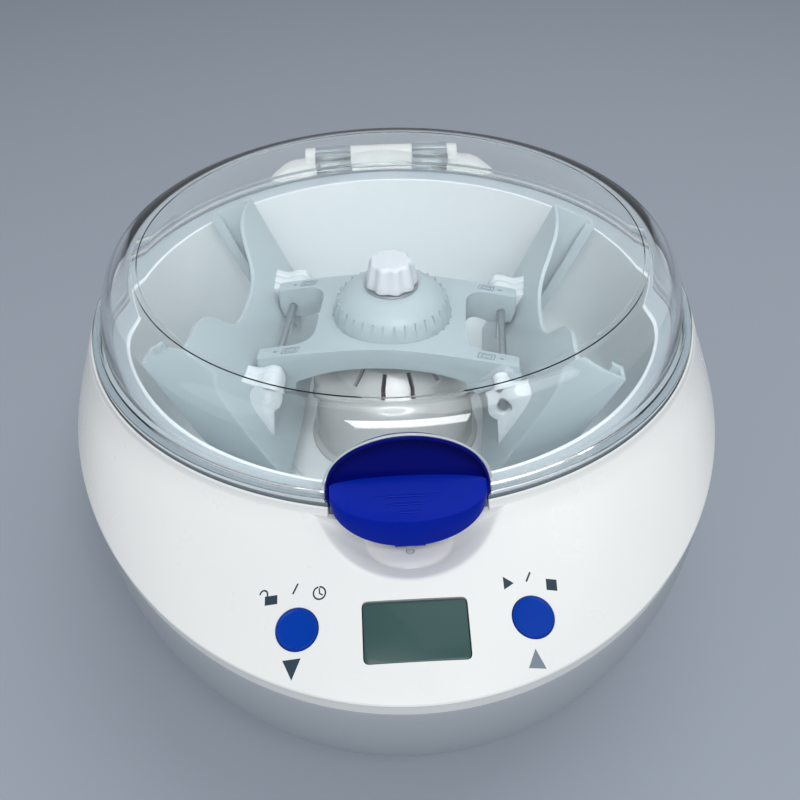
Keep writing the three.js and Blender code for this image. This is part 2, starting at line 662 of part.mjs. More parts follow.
const scoopFloor = panelTop - scoop.depth;
const plungerTop = scoopFloor - run;
const solenoidTop = panelTop - solenoid.below;
const solenoidLow = solenoidTop - solenoid.height;
const solenoidHalf = solenoid.width / 2;
piece(machine, 'lock_solenoid', cut(
  block([-solenoidHalf, -solenoidY - solenoidHalf, solenoidLow],
    [solenoidHalf, -solenoidY + solenoidHalf, solenoidTop]),
  column(solenoid.plunger + run, solenoidLow + solenoid.height / 2, rim).translate(0, -solenoidY, 0),
), looks.dark);
piece(machine, 'lock_plunger', column(
  solenoid.plunger, solenoidLow + solenoid.height / 2 + run, plungerTop,
), looks.steel).position.set(0, -solenoidY, 0);

const strikeFace = panelRadius + run;
const strikeTop = below(latch.pinRise);
const strikeLow = below(2 * latch.pinRise);
piece(machine, 'latch_strike', common(
  block([-latch.strikeHalf, -strikeFace - latch.strike, strikeLow],
    [latch.strikeHalf, -panelRadius + latch.strike, strikeTop]),
  cut(column(2 * panelRadius, 0, rim), column(strikeFace, 0, rim, turnSteps)),
), looks.steel);

// Power supply card, socket and rocker switch

function makePowerBoard() {
  const z = floorZ + run + supply.post;
  let card = solid(block(
    [-supply.width / 2, -supply.length / 2, z],
    [supply.width / 2, supply.length / 2, z + supply.thickness],
  ));
  for (const x of [-1, 1]) {
    for (const y of [-1, 1]) {
      const leg = column(supply.postRadius, floorZ + run, z + run);
      const [dx, dy] = [supply.width / 2 - supply.postRadius, supply.length / 2 - supply.postRadius];
      card = join(card, leg.translate(x * dx, y * dy, 0));
    }
  }
  const transformer = block(
    [-supply.width / 3, -supply.length / 4, z + run],
    [supply.width / 4, supply.length / 5, floorZ + supply.block],
  );
  return join(card, transformer);
}
piece(machine, 'power_board', makePowerBoard(), looks.electronics)
  .position.set(supply.sideIn - bowlRadius, 0, 0);

function makeJack() {
  const face = bayY + jack.lip;
  const shell = join(
    block([-jack.width / 2, bayY - jack.depth, -jack.height / 2], [jack.width / 2, face, jack.height / 2]),
    block([-jack.width / 2 - jack.lipWidth, bayY + run, -jack.height / 2 - jack.lipWidth],
      [jack.width / 2 + jack.lipWidth, face, jack.height / 2 + jack.lipWidth]),
  );
  const bottom = face - jack.boreDepth;
  const socket = cut(shell, axleY(jack.bore, bottom, face + overrun));
  return join(socket, axleY(jack.pin, bottom - run, face - jack.lip));
}
piece(machine, 'power_jack', makeJack(), looks.dark).position.set(-jack.x, 0, bayZ);

const rockerPivot = bayY + jack.lip - rocker.depth / 2;
const rockerWing = rocker.width / 2 - rocker.frame - 2 * run;
const rockerHalf = rocker.height / 2 - rocker.frame;
piece(machine, 'switch_frame', cut(
  join(
    block([-rocker.width / 2, bayY - rocker.depth, -rocker.height / 2],
      [rocker.width / 2, bayY + jack.lip, rocker.height / 2]),
    block([-rocker.width / 2 - jack.lipWidth, bayY + run, -rocker.height / 2 - jack.lipWidth],
      [rocker.width / 2 + jack.lipWidth, bayY + jack.lip, rocker.height / 2 + jack.lipWidth]),
  ),
  block([-rocker.width / 2 + rocker.frame, bayY - rocker.depth + rocker.frame, -rockerHalf],
    [rocker.width / 2 - rocker.frame, bayY + overrun, rockerHalf]),
  axleX(rocker.axle + run, -rockerWing - rocker.frame, rockerWing + rocker.frame)
    .translate(0, rockerPivot, 0),
), looks.dark).position.set(rocker.x, 0, bayZ);
function makeRocker() {
  const half = rockerHalf - 3 * run;
  const reach = rocker.depth / 2 + rocker.proud;
  const outline = [
    [reach - rocker.proud, -half], [reach, -half * 0.8], [reach - rocker.proud, 0], [reach, half * 0.8],
    [reach - rocker.proud, half], [0, half * 0.45], [-rocker.axle, 0], [0, -half * 0.45],
  ];
  const axle = axleX(rocker.axle, -rockerWing - run, rockerWing + run);
  return join(prismX(outline, -rockerWing, rockerWing), axle);
}
const tumbler = piece(machine, 'switch_rocker', makeRocker(), looks.dark);
tumbler.position.set(rocker.x, rockerPivot, bayZ);
tumbler.rotation.x = -degrees(rocker.tilt);

// Lid: clear dome with a stepped flange, cut flat at the rear and open where the latch sits

const lidGroup = new THREE.Group();
machine.add(lidGroup);
const crownRadius = bowlRadius - lid.crownIn;
function domeProfile(grow) {
  const flangeTop = lidFoot + lid.flange + grow;
  return [
    ...curve([beyond(lid.foot) + grow, flangeTop + lid.step],
      [beyond(lid.shoulder) + grow, rim + lid.shoulderRise + grow],
      [crownRadius, rim + lid.crownRise + grow], 5),
    ...domeShares.map((share) => [
      crownRadius * share, rim + mix(lid.top, lid.crownRise, share * share) + grow,
    ]),
  ];
}
function flangeProfile(grow) {
  const flangeTop = lidFoot + lid.flange + grow;
  return [
    [lidRadius + grow, lidFoot], [lidRadius + grow, flangeTop],
    [lidRadius + grow - lid.stepWidth, flangeTop],
    [lidRadius + grow - lid.stepWidth - run, flangeTop + lid.step],
  ];
}
const domeSolid = (grow) => solid(turned([[0, lidFoot], ...flangeProfile(grow), ...domeProfile(grow)]));
const faceTilt = Math.PI / 2 - degrees(latch.faceAngle);
const faceTurn = new THREE.Quaternion().setFromAxisAngle(new THREE.Vector3(1, 0, 0), faceTilt);
const latchPlace = new THREE.Vector3(0, -beyond(latch.reach), rim + latch.rise);
function latchColumn(grow, low, high) {
  const unit = column(1, low, high, 2 * roundSteps);
  unit.scale(latch.halfWidth + grow, latch.halfHeight + grow, 1);
  return placed(unit, latchPlace, faceTurn);
}
function makeLid() {
  const inside = beyond(lid.inside);
  const stepTop = lidFoot + lid.flange + lid.step;
  const hollow = turned([
    [0, lidFoot - overrun], [inside, lidFoot - overrun],
    ...curve([inside, stepTop], [beyond(lid.shoulder) - lid.wall, rim + lid.shoulderRise - lid.wall],
      [crownRadius - lid.wall, rim + lid.crownRise - lid.wall], 4),
    ...domeShares.map((share) => [
      crownRadius * share, rim + mix(lid.top, lid.crownRise, share * share) - lid.wall,
    ]),
  ]);
  const rearFlat = beyond(lid.rearFlat);
  const rearCut = block([-lidRadius, rearFlat, 0], [lidRadius, lidRadius + overrun, stepTop + run]);
  return cut(domeSolid(0), hollow, rearCut, latchColumn(run, -latch.dish - run, overrun));
}
piece(lidGroup, 'lid_dome', makeLid(), looks.clear);
['left', 'right'].forEach((side, i) => {
  const half = hinge.knuckleWidth / 2;
  const armLow = rim + hinge.armRise;
  const arm = block([-half, beyond(hinge.armFront), armLow], [half, hingeY, armLow + hinge.arm]);
  const barrel = axleX(hinge.knuckle, -half, half).translate(0, hingeY, hingeZ);
  const bore = axleX(hinge.pin + rod.play, -overrun, overrun).translate(0, hingeY, hingeZ);
  const x = (2 * i - 1) * hinge.knuckleX;
  const knuckle = cut(join(arm, barrel), bore).translate([x, 0, 0]);
  piece(lidGroup, `lid_knuckle_${side}`, cut(knuckle, domeSolid(run)), looks.knuckle);
});
piece(machine, 'hinge_pin', axleX(hinge.pin, -hingeHalf + 2 * run, hingeHalf - run), looks.steel)
  .position.set(0, hingeY, hingeZ);

// Latch: a dished blue cup set in the lid's front wall, and the grip lever that turns on a pin in it

const latchPinY = beyond(latch.pinReach);
const latchPinZ = rim + latch.pinRise;
function makeLatchCup() {
  const hollow = latchColumn(-latch.skin, -latch.dish + latch.skin, 2 * overrun);
  const bowlShape = cut(latchColumn(0, -latch.dish, overrun), hollow);
  const above = block([-overrun, -2 * lidRadius, rim + 2 * run], [overrun, 0, rim + overrun]);
  const inLid = common(bowlShape, above, domeGrown());
  const pin = axleX(latch.pin + rod.play, -overrun, overrun).translate(0, -latchPinY, latchPinZ);
  return cut(inLid, pin);
}
// The dome grown outwards, and closed down to the rim
function domeGrown() {
  const outer = lidRadius + latch.rimProud;
  return join(domeSolid(latch.rimProud), column(outer, rim, lidFoot + run, turnSteps));
}
piece(lidGroup, 'latch_cup', makeLatchCup(), looks.grip);

// The lever's side outline, from its heel over the grip to its tip, and back under it
const leverPoint = ([reach, rise]) => [
  -mix(beyond(lever.heel), beyond(lever.tip), reach), rim + mix(-lever.drop, lever.top, rise),
];
const leverOutline = [
  ...leverTopShares.map(leverPoint), [-leverBack, rim - lever.drop],
  [-leverBack, rim + mix(-lever.drop, lever.top, leverBackShare)], ...leverUnderShares.map(leverPoint),
];
function makeLever() {
  const outer = latchColumn(-latch.skin - 3 * run, -2 * latch.dish, overrun);
  const grip = common(outer, prismX(leverOutline, -overrun, overrun));
  const hookLow = below(latch.hookDrop);
  const hookFront = -leverBack - latch.tongueDepth;
  const hook = block([-latch.tongue, hookFront, hookLow], [latch.tongue, -leverBack, rim - run]);
  const barb = block([-latch.tongue, -leverBack - run, hookLow],
    [latch.tongue, -strikeFace, strikeLow - latch.hookPlay]);
  const keyhole = column(solenoid.plunger + run, hookLow - overrun, hookLow + solenoid.travel);
  const pin = axleX(latch.pin + rod.play, -overrun, overrun).translate(0, -latchPinY, latchPinZ);
  return cut(join(grip, hook, barb), pin, keyhole.translate(0, -solenoidY, 0));
}
const latchGroup = new THREE.Group();
lidGroup.add(latchGroup);
piece(latchGroup, 'latch_lever', makeLever(), looks.grip);
piece(lidGroup, 'latch_pin', axleX(latch.pin, -latch.pinHalf, latch.pinHalf), looks.steel)
  .position.set(0, -latchPinY, latchPinZ);

// Rotor: yoke, collar, hub, rods and knob, resting a little turned from square

const rotorGroup = new THREE.Group();
rotorGroup.rotation.z = degrees(rotor.turn);
machine.add(rotorGroup);

const shaftRod = column(shaft.radius, below(shaft.bottom), rim + shaft.top, roundSteps);
piece(rotorGroup, 'motor_shaft', shaftRod, looks.steel);
piece(rotorGroup, 'rotor_collar', turned([
  [shaft.radius + run, below(rotor.arch + run)], [rotor.collar, below(rotor.arch + run)],
  [rotor.collar, below(rotor.arch + rotor.collarHeight)],
  [shaft.radius + run, below(rotor.arch + rotor.collarHeight)],
], roundSteps), looks.steel);

// End of each arm: upright above the rod, and slanted under it to meet the tilted carrier
function armReach(z) {
  const gap = carrier.offset - 3 * run;
  const slant = (gap + (z - below(rod.drop)) * Math.sin(lean)) / Math.cos(lean);
  return rod.x + Math.min(gap, slant);
}
function makeYoke() {
  const levels = [
    [rotor.crownX, below(rotor.crown)], [armReach(below(rotor.endTop)), below(rotor.endTop)],
    [armReach(below(rod.drop)), below(rod.drop)], [armReach(below(rotor.endBottom)), below(rotor.endBottom)],
    [rotor.archX, below(rotor.endBottom)],
    [rotor.archX / 2, below(mix(rotor.arch, rotor.endBottom, archShare))],
    [rotor.collar, below(rotor.arch)],
  ];
  const side = [...levels, ...levels.map(([x, z]) => [-x, z]).reverse()];
  const plan = new THREE.Shape();
  const [x, y, c] = [rod.x + carrier.offset, rotor.halfWidth, rotor.notchCorner];
  const [nx, ny] = [rotor.notchX, rotor.halfWidth - rotor.arm];
  plan.moveTo(-x, -y).lineTo(x, -y).lineTo(x, -ny).lineTo(nx + c, -ny);
  plan.quadraticCurveTo(nx, -ny, nx, -ny + c).lineTo(nx, ny - c).quadraticCurveTo(nx, ny, nx + c, ny);
  plan.lineTo(x, ny).lineTo(x, y).lineTo(-x, y).lineTo(-x, ny).lineTo(-nx - c, ny);
  plan.quadraticCurveTo(-nx, ny, -nx, ny - c).lineTo(-nx, -ny + c).quadraticCurveTo(-nx, -ny, -nx - c, -ny);
  plan.lineTo(-x, -ny).lineTo(-x, -y);
  let yoke = common(prismY(side, -y - run, y + run), prism(plan, 0, rim));
  yoke = cut(yoke, column(shaft.radius + run, 0, rim, roundSteps));
  for (const end of [-1, 1]) {
    const bore = axleY(rod.radius + rod.play, -overrun, overrun);
    yoke = cut(yoke, bore.translate(end * rod.x, 0, below(rod.drop)));
  }
  return yoke;
}
piece(rotorGroup, 'rotor_yoke', makeYoke(), looks.rotor);
const hubSeat = below(rotor.crown) + run;
piece(rotorGroup, 'hub_dome', turned([
  [shaft.radius + run, hubSeat], [hub.radius, hubSeat], [hub.radius, hubSeat + hub.band],
  ...curve([hub.radius - 2 * run, hubSeat + hub.band + run],
    [hub.shoulder, hubSeat + hub.shoulderRise + 3 * run], [hub.seat, hubSeat + hub.top - run], 4),
  [shaft.radius + run, hubSeat + hub.top - run],
], 2 * smallSteps), looks.rotor);
const washerSeat = hubSeat + hub.top;
piece(rotorGroup, 'knob_washer', turned([
  [shaft.radius + run, washerSeat], [washer.radius, washerSeat],
  [washer.radius, washerSeat + washer.height], [shaft.radius + run, washerSeat + washer.height],
], roundSteps), looks.steel);
['left', 'right'].forEach((side, i) => {
  const half = carrier.lugInner + carrier.lugWidth - carrier.counterboreDepth / 4;
  piece(rotorGroup, `swing_rod_${side}`, axleY(rod.radius, -half, half), looks.steel)
    .position.set((2 * i - 1) * rod.x, 0, below(rod.drop));
});

function makeKnob() {
  const knobSeat = washerSeat + washer.height + run;
  const lobed = (radius, z) => Array.from({ length: turnSteps }, (_, i) => {
    const angle = (i / turnSteps) * 2 * Math.PI;
    const r = radius + knob.lobe * Math.cos(knob.lobes * angle);
    return new THREE.Vector3(r * Math.cos(angle), r * Math.sin(angle), z);
  });
  const top = knobSeat + knob.height;
  const grip = loft([
    lobed(knob.base, knobSeat), lobed(knob.base, knobSeat + 4 * knob.lobe),
    lobed(knob.top, top - 2 * knob.lobe), ring(knob.top - 2 * knob.lobe, top),
  ], true);
  return cut(grip, column(shaft.radius + run, knobSeat - overrun, top - knob.roof, roundSteps));
}
piece(rotorGroup, 'rotor_knob', makeKnob(), looks.knob);

// Plate carriers: thin channels that hold a plate on edge, with lugs on the rods

function makeCarrier() {
  const t = carrier.wall;
  const back = carrier.offset;
  const [half, front, low] = [carrierHalf, carrierFront, carrierLow];
  const lip = half - carrier.lip;
  const edge = [
    [front, half], [front, lip], [front - carrier.barb, lip], [front - carrier.barb, lip + t],
    [front - t, lip + t], [front - t, half - t], [back + t, half - t - carrier.draft],
  ];
  const mirrored = edge.map(([x, y]) => [x, -y]);
  const outline = [[back, -half], ...mirrored, ...[...edge].reverse(), [back, half]];
  const bottom = [[back, low], [front, low], [front, low + t - carrier.draft], [back, low + t]];
  let tray = join(prism(outline, low, carrier.above), prismY(bottom, -half, half));

  // The finger notch in the back wall's top edge
  const path = new THREE.SplineCurve(notchShares.map(([y, z]) => new THREE.Vector2(
    y * carrier.notchHalf, carrier.above + run - z * carrier.notchDepth,
  )));
  const notch = path.getPoints(28).map((p) => [p.x, p.y]);
  notch.push([carrier.notchHalf, carrier.above + overrun], [-carrier.notchHalf, carrier.above + overrun]);
  tray = cut(tray, prismX(notch, back - t, back + 2 * t));

  // Two lugs with a wavy top, round noses on the rod and a gusset down the wall
  const [nosed, top] = [carrier.lugRadius, carrier.lugRadius + run];
  const nose = curve([0, top], [-noseShare * nosed, nosed], [-nosed, 0], 5);
  const chin = curve([-nosed, 0], [-nosed, -nosed], [0, -top], 5);
  const wave = curve([back + t / 2, carrier.lugRise], [back / 2, nosed - 2 * run], [0, top], 5);
  const profile = [...wave, ...nose.slice(1), ...chin.slice(1), [back + t / 2, -carrier.gusset]];
  for (const side of [-1, 1]) {
    const [near, far] = [side * carrier.lugInner, side * (carrier.lugInner + carrier.lugWidth)];
    const [from, to] = [Math.min(near, far), Math.max(near, far)];
    tray = join(tray, prismY(profile, from, to));
    const mouth = far - side * carrier.counterboreDepth;
    tray = cut(tray, axleY(rod.radius + rod.play, from - run, to + run),
      axleY(carrier.counterbore, Math.min(mouth, far + side), Math.max(mouth, far + side)));
  }
  return tray;
}
['left', 'right'].forEach((side, i) => {
  const swing = new THREE.Group();
  swing.position.set((2 * i - 1) * rod.x, 0, below(rod.drop));
  swing.rotation.order = 'ZYX';
  swing.rotation.z = i ? 0 : Math.PI;
  swing.rotation.y = lean;
  rotorGroup.add(swing);
  piece(swing, `carrier_${side}`, makeCarrier(), looks.carrier);
});

// The origin is on the table, under the middle of the whole outline
const object = new THREE.Group();
machine.position.y = (edgeSizes[1] - beyond(hinge.humpReach)) / 2;
object.add(machine);

export default object;
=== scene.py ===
# %% [markdown]
# # A benchtop microplate centrifuge
#
# The machine spins two plates in a round bowl under a clear lid. Its frame comes from a CAD model
# that is already packed, so every part sits where the real one does. Here each visible part gets
# its true curve, its rounded edges and its finish. Lengths are written in millimetres about the
# bowl's axis and turned to metres by one matrix, because that is how the machine was measured.

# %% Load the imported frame
import math

import bmesh
import bpy
from mathutils import Matrix, Vector


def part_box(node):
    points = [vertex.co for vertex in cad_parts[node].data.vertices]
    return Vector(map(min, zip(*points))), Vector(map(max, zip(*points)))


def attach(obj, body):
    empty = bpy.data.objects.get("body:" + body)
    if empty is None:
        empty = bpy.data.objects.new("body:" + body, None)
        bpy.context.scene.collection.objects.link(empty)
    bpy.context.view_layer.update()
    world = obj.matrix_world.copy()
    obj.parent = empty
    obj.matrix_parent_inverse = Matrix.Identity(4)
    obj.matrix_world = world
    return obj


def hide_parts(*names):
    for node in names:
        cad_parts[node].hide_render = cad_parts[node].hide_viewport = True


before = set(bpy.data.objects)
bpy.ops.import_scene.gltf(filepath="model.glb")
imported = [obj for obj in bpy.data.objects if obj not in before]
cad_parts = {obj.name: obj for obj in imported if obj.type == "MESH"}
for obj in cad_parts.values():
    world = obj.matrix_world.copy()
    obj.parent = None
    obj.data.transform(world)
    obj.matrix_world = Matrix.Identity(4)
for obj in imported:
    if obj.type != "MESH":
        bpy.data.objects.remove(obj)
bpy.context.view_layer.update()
scene = bpy.context.scene
scene.view_settings.view_transform = "Standard"

# %% Sizes that several parts share, in mm
RUN = 0.3                      # gap between parts that touch
RIM = 119.0                    # height of the bowl's rim
BOWL = 124.0                   # its inner radius
LIP = 139.4                    # inner radius of the lip round the lid
PANEL = 141.8                  # where the sloping panel starts
PANEL_TOP = 117.0
EDGE = (150.0, 202.5, 142.0)   # the panel's edge: half width, reach to the front, to the rear
EDGE_Z = 96.0
SEAM_Z = 89.0
WIDEST = 5.0                   # the widest line of the egg is this far behind the axis
LID_FOOT = 122.6
HINGE_Y, HINGE_Z = 143.5, 128.0
KNUCKLE_X, KNUCKLE_HALF = 29, 10.3   # middle and half width of each hinge arm
PIN_BORE = 2.15                # holes for the hinge pin and the rods, which are 4 mm thick
SHAFT_WAY = 4.3                # hole for the motor shaft
MIDDLE = 26.0                  # from the bowl's axis to the middle of the part

machine = Matrix.Translation((0, MIDDLE / 1000, 0)) @ Matrix.Diagonal((0.001, 0.001, 0.001, 1))
rotor = machine @ Matrix.Rotation(math.radians(-7), 4, "Z")
ROD_X, ROD_Z = 54.4, 94.2
swing = {}
for side, sign, turn in (("left", -1, math.pi), ("right", 1, 0.0)):
    swing[side] = (rotor @ Matrix.Translation((sign * ROD_X, 0, ROD_Z))
                   @ Matrix.Rotation(turn, 4, "Z") @ Matrix.Rotation(math.radians(22.5), 4, "Y"))
print("the bowl's axis is at", tuple(round(v, 4) for v in machine.translation))

# %% [markdown]
# ## The camera
#
# The photograph was taken from the front and above. A pinhole camera was fitted to the circles of
# the bowl and the lid, and its place is written here as three numbers about the bowl's rim, so
# that it can be checked against the drawing instead of being nudged by eye.

# %% Camera
rise, roll, round_axis = 0.70217, -0.020058, math.radians(-2.2)
across = Vector((1, 0, 0))
upward = Vector((0, math.sin(rise), math.cos(rise)))
backward = Vector((0, -math.cos(rise), math.sin(rise)))
side_way = across * math.cos(roll) + upward * math.sin(roll)
up_way = upward * math.cos(roll) - across * math.sin(roll)
place = (backward * 3.39337 + side_way * 0.031866 - up_way * 0.396745) * BOWL
turned_by = Matrix.Rotation(round_axis, 3, "Z")
eye = bpy.data.cameras.new("eye")
eye.sensor_width = 36
eye.lens = 870 / 800 * 36
camera = bpy.data.objects.new("camera", eye)
scene.collection.objects.link(camera)
ways = [turned_by @ way for way in (side_way, up_way, backward)]
looking = Matrix(ways).transposed().to_4x4()
camera.matrix_world = Matrix.Translation(machine @ (turned_by @ place + Vector((0, 0, RIM)))) @ looking
scene.camera = camera
print("camera at", tuple(round(v, 3) for v in camera.matrix_world.translation))

# %% [markdown]
# ## Small helpers for shapes
#
# Most of the machine is moulded plastic: turned or swept outlines with softened corners. So the
# helpers are few. One makes a part from points and faces, one turns an outline about an axis,
# one skins level rings, one pushes an outline along an axis, and one joins or cuts two solids.

# %% Make a part from points
def part(name, points, faces, where=machine):
    mesh = bpy.data.meshes.new(name)
    mesh.from_pydata([where @ Vector(p) for p in points], [], faces)
    made = bpy.data.objects.new(name, mesh)
    scene.collection.objects.link(made)
    return settle(made)


def settle(made):
    """Merges double points, drops empty faces and turns the others outwards."""
    work = bmesh.new()
    work.from_mesh(made.data)
    bmesh.ops.remove_doubles(work, verts=work.verts, dist=2e-6)
    bmesh.ops.dissolve_degenerate(work, edges=work.edges, dist=1e-7)
    bmesh.ops.recalc_face_normals(work, faces=work.faces)
    work.to_mesh(made.data)
    work.free()
    return made


# %% Outlines with rounded corners
def rounded(corners, closed=True, steps=5):
    """A corner is (across, up) when sharp, or (across, up, radius) when rounded."""
    path = []
    count = len(corners)
    for i, (a, b, *radius) in enumerate(corners):
        here = Vector((a, b))
        if not radius or (not closed and i in (0, count - 1)):
            path.append((a, b))
            continue
        to_last = Vector(corners[i - 1][:2]) - here
        to_next = Vector(corners[(i + 1) % count][:2]) - here
        reach = radius[0] / max(math.tan(to_last.angle(to_next) / 2), 1e-3)
        reach = min(reach, 0.48 * to_last.length, 0.48 * to_next.length)
        start, end = here + to_last.normalized() * reach, here + to_next.normalized() * reach
        for k in range(steps + 1):
            t = k / steps
            path.append(tuple(start * (1 - t) ** 2 + here * (2 * t * (1 - t)) + end * t * t))
    return path


def bend(start, over, end, steps=12):
    """Points on a smooth bend from start to end that leans towards a third point."""
    s, o, e = Vector(start), Vector(over), Vector(end)
    shares = [k / steps for k in range(steps + 1)]
    return [tuple(s * (1 - t) ** 2 + o * (2 * t * (1 - t)) + e * t * t) for t in shares]


def mix(a, b, share):
    return a + (b - a) * share


# %% Turn, skin and push outlines
def turned(name, outline, steps=180, where=machine):
    """Turns an outline of (radius, height) about the axis. It closes on itself."""
    count = len(outline)
    points, faces = [], []
    for k in range(steps):
        angle = 2 * math.pi * k / steps
        points += [(r * math.cos(angle), r * math.sin(angle), z) for r, z in outline]
        after = (k + 1) % steps
        for i in range(count):
            j = (i + 1) % count
            if outline[i][0] > 0 or outline[j][0] > 0:
                faces.append((k * count + i, after * count + i, after * count + j, k * count + j))
    return part(name, points, faces, where)


def skinned(name, rings, where=machine, capped=False):
    count = len(rings[0])
    points = [point for ring in rings for point in ring]
    faces = []
    for r in range(len(rings) - 1 if capped else len(rings)):
        after = (r + 1) % len(rings)
        for i in range(count):
            j = (i + 1) % count
            faces.append((r * count + i, r * count + j, after * count + j, after * count + i))
    if capped:
        faces.append(tuple(range(count)))
        faces.append(tuple(range(len(points) - count, len(points))))
    return part(name, points, faces, where)


def pushed(name, outline, low, high, along="Z", where=machine):
    """Pushes an outline along an axis: (x, y) along Z, (x, z) along Y or (y, z) along X."""
    order = {"Z": lambda a, b, c: (a, b, c), "Y": lambda a, b, c: (a, c, b),
             "X": lambda a, b, c: (c, a, b)}
    rings = [[order[along](a, b, level) for a, b in outline] for level in (low, high)]
    return skinned(name, rings, where, capped=True)


def box(name, low, high, where=machine):
    corners = [(low[0], low[1]), (high[0], low[1]), (high[0], high[1]), (low[0], high[1])]
    return pushed(name, corners, low[2], high[2], "Z", where)


def circle(radius, steps=48, across=0.0, up=0.0):
    turns = [2 * math.pi * k / steps for k in range(steps)]
    return [(across + radius * math.cos(a), up + radius * math.sin(a)) for a in turns]


# %% Join and cut solids
def plain(made):
    """The part as it looks with its modifiers, as a plain mesh."""
    graph = bpy.context.evaluated_depsgraph_get()
    mesh = bpy.data.meshes.new_from_object(made.evaluated_get(graph))
    made.modifiers.clear()
    made.data = mesh
    mesh.name = made.name
    return made


def combine(made, tool, how):
    step = made.modifiers.new(how, "BOOLEAN")
    step.operation, step.solver, step.object = how, "MANIFOLD", tool
    plain(made)
    bpy.data.objects.remove(tool)
    if not made.data.polygons:
        raise RuntimeError("nothing is left of " + made.name)
    return made


def cut(made, *tools):
    for tool in tools:
        combine(made, tool, "DIFFERENCE")
    return made


def join(made, *others):
    for other in others:
        combine(made, other, "UNION")
    return made


def keep(made, tool):
    return combine(made, tool, "INTERSECT")


# %% Soften edges and shade
def softened(made, width, angle=32, segments=2):
    """Rounds the hard edges of a part, after its flat faces are merged."""
    work = bmesh.new()
    work.from_mesh(made.data)
    bmesh.ops.remove_doubles(work, verts=work.verts, dist=5e-6)
    bmesh.ops.dissolve_limit(work, angle_limit=math.radians(1.5), verts=work.verts, edges=work.edges)
    work.to_mesh(made.data)
    work.free()
    step = made.modifiers.new("soft edges", "BEVEL")
    step.width, step.segments = width / 1000, segments
    step.limit_method, step.angle_limit = "ANGLE", math.radians(angle)
    step.use_clamp_overlap, step.miter_outer = True, "MITER_ARC"
    return plain(made)


def shaded(made, angle=35):
    made.data.shade_smooth()
    made.data.set_sharp_from_angle(angle=math.radians(angle))
    return made


def dress(made, body, finish, slot, *nodes, angle=35):
    """Shades a part, gives it its finish and lets it ride on its body."""
    shaded(made, angle)
    made.data.materials.clear()
    made.data.materials.append(finish)
    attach(made, body)
    if nodes:
        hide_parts(*nodes)
    print(made.name, "has", len(made.data.polygons), "faces")
    return made


# %% [markdown]
# ## Finishes
#
# Every finish starts from the real material: moulded ABS for the housing, polycarbonate for the
# lid, silicone rubber, steel and glossy paint. A moulded surface is never perfectly even, so each
# plastic gets a faint change of colour, a gloss that varies a little over centimetres, and a fine
# grain from the mould. All patterns read Object coordinates, which are metres here.

# %% Colours and nodes
def colour(text):
    """An sRGB hex value as linear red, green, blue and alpha."""
    parts = [int(text[i:i + 2], 16) / 255 for i in (1, 3, 5)]
    return [v / 12.92 if v <= 0.04045 else ((v + 0.055) / 1.055) ** 2.4 for v in parts] + [1.0]


def add(tree, kind, settings=(), values=(), links=()):
    """Adds one node: its own settings, its sockets' values, and where its sockets are fed from."""
    made = tree.nodes.new(kind)
    for name, value in dict(settings).items():
        setattr(made, name, value)
    for name, value in dict(values).items():
        made.inputs[name].default_value = value
    for name, source in dict(links).items():
        tree.links.new(source, made.inputs[name])
    return made


def started(name):
    finish = bpy.data.materials.new(name)
    finish.use_nodes = True
    tree = finish.node_tree
    tree.nodes.clear()
    return finish, tree, add(tree, "ShaderNodeTexCoord").outputs["Object"]


def noise(tree, where, scale, detail):
    made = add(tree, "ShaderNodeTexNoise", values={"Scale": scale, "Detail": detail},
               links={"Vector": where})
    return made.outputs["Fac"]


def ranged(tree, source, low, high, start=0.0, end=1.0):
    """Spreads a value that runs from start to end over low to high."""
    made = add(tree, "ShaderNodeMapRange", values={
        "From Min": start, "From Max": end, "To Min": low, "To Max": high}, links={"Value": source})
    return made.outputs["Result"]


def blended(tree, share, first, second):
    made = add(tree, "ShaderNodeMix", {"data_type": "RGBA"}, links={0: share})
    made.inputs[6].default_value = colour(first)
    made.inputs[7].default_value = colour(second)
    return made.outputs[2]


def ended(tree, shader):
    add(tree, "ShaderNodeOutputMaterial", links={"Surface": shader})


# %% Moulded plastic
def moulded(name, tone, deep, roughness, spread=0.05, grain=0.6, relief=0.02, **sockets):
    """Plastic from a mould. tone and deep are the colour and its slightly darker drift, grain is
    the size of the mould's texture in mm, and relief is how far it stands up, in mm."""
    finish, tree, where = started(name)
    tint = blended(tree, noise(tree, where, 14.0, 3.0), tone, deep)
    handled = noise(tree, where, 45.0, 4.0)
    gloss = ranged(tree, handled, roughness - spread, roughness + spread, 0.3, 0.7)
    bump = add(tree, "ShaderNodeBump", values={"Strength": 0.35, "Distance": relief / 1000},
               links={"Height": noise(tree, where, 1000 / grain, 2.0)})
    skin = add(tree, "ShaderNodeBsdfPrincipled", values={"IOR": 1.53, **sockets}, links={
        "Base Color": tint, "Roughness": gloss, "Normal": bump.outputs["Normal"]})
    ended(tree, skin.outputs["BSDF"])
    return finish


# Glossy white ABS for the housing: a clear, slightly soft reflection of the room
shell_abs = moulded("white moulded abs", "#edeeec", "#e8e9e7", 0.3)
# The base is the same plastic, painted greyer as the shade on its sides that lean in and face down, and it
# is duller
base_abs_painted_shade = moulded("moulded abs with painted shade", "#adb3b8", "#a6adb2", 0.38)
# The bowl has a spark-eroded texture that spreads the light
bowl_abs = moulded("grey white bowl abs", "#dde3e6", "#d4dbdf", 0.42, grain=0.9)
# The flange round its rim is covered by a thin band painted grey as shade, not a real grey part
rim_painted_shade = moulded("grey band of painted shade", "#a9b3ba", "#a1abb2", 0.35)
# The motor's cover is polished in the mould and mirrors the rotor above it
cover_abs = moulded("polished white abs", "#b9bbba", "#b3b5b5", 0.12, spread=0.03, relief=0.004)
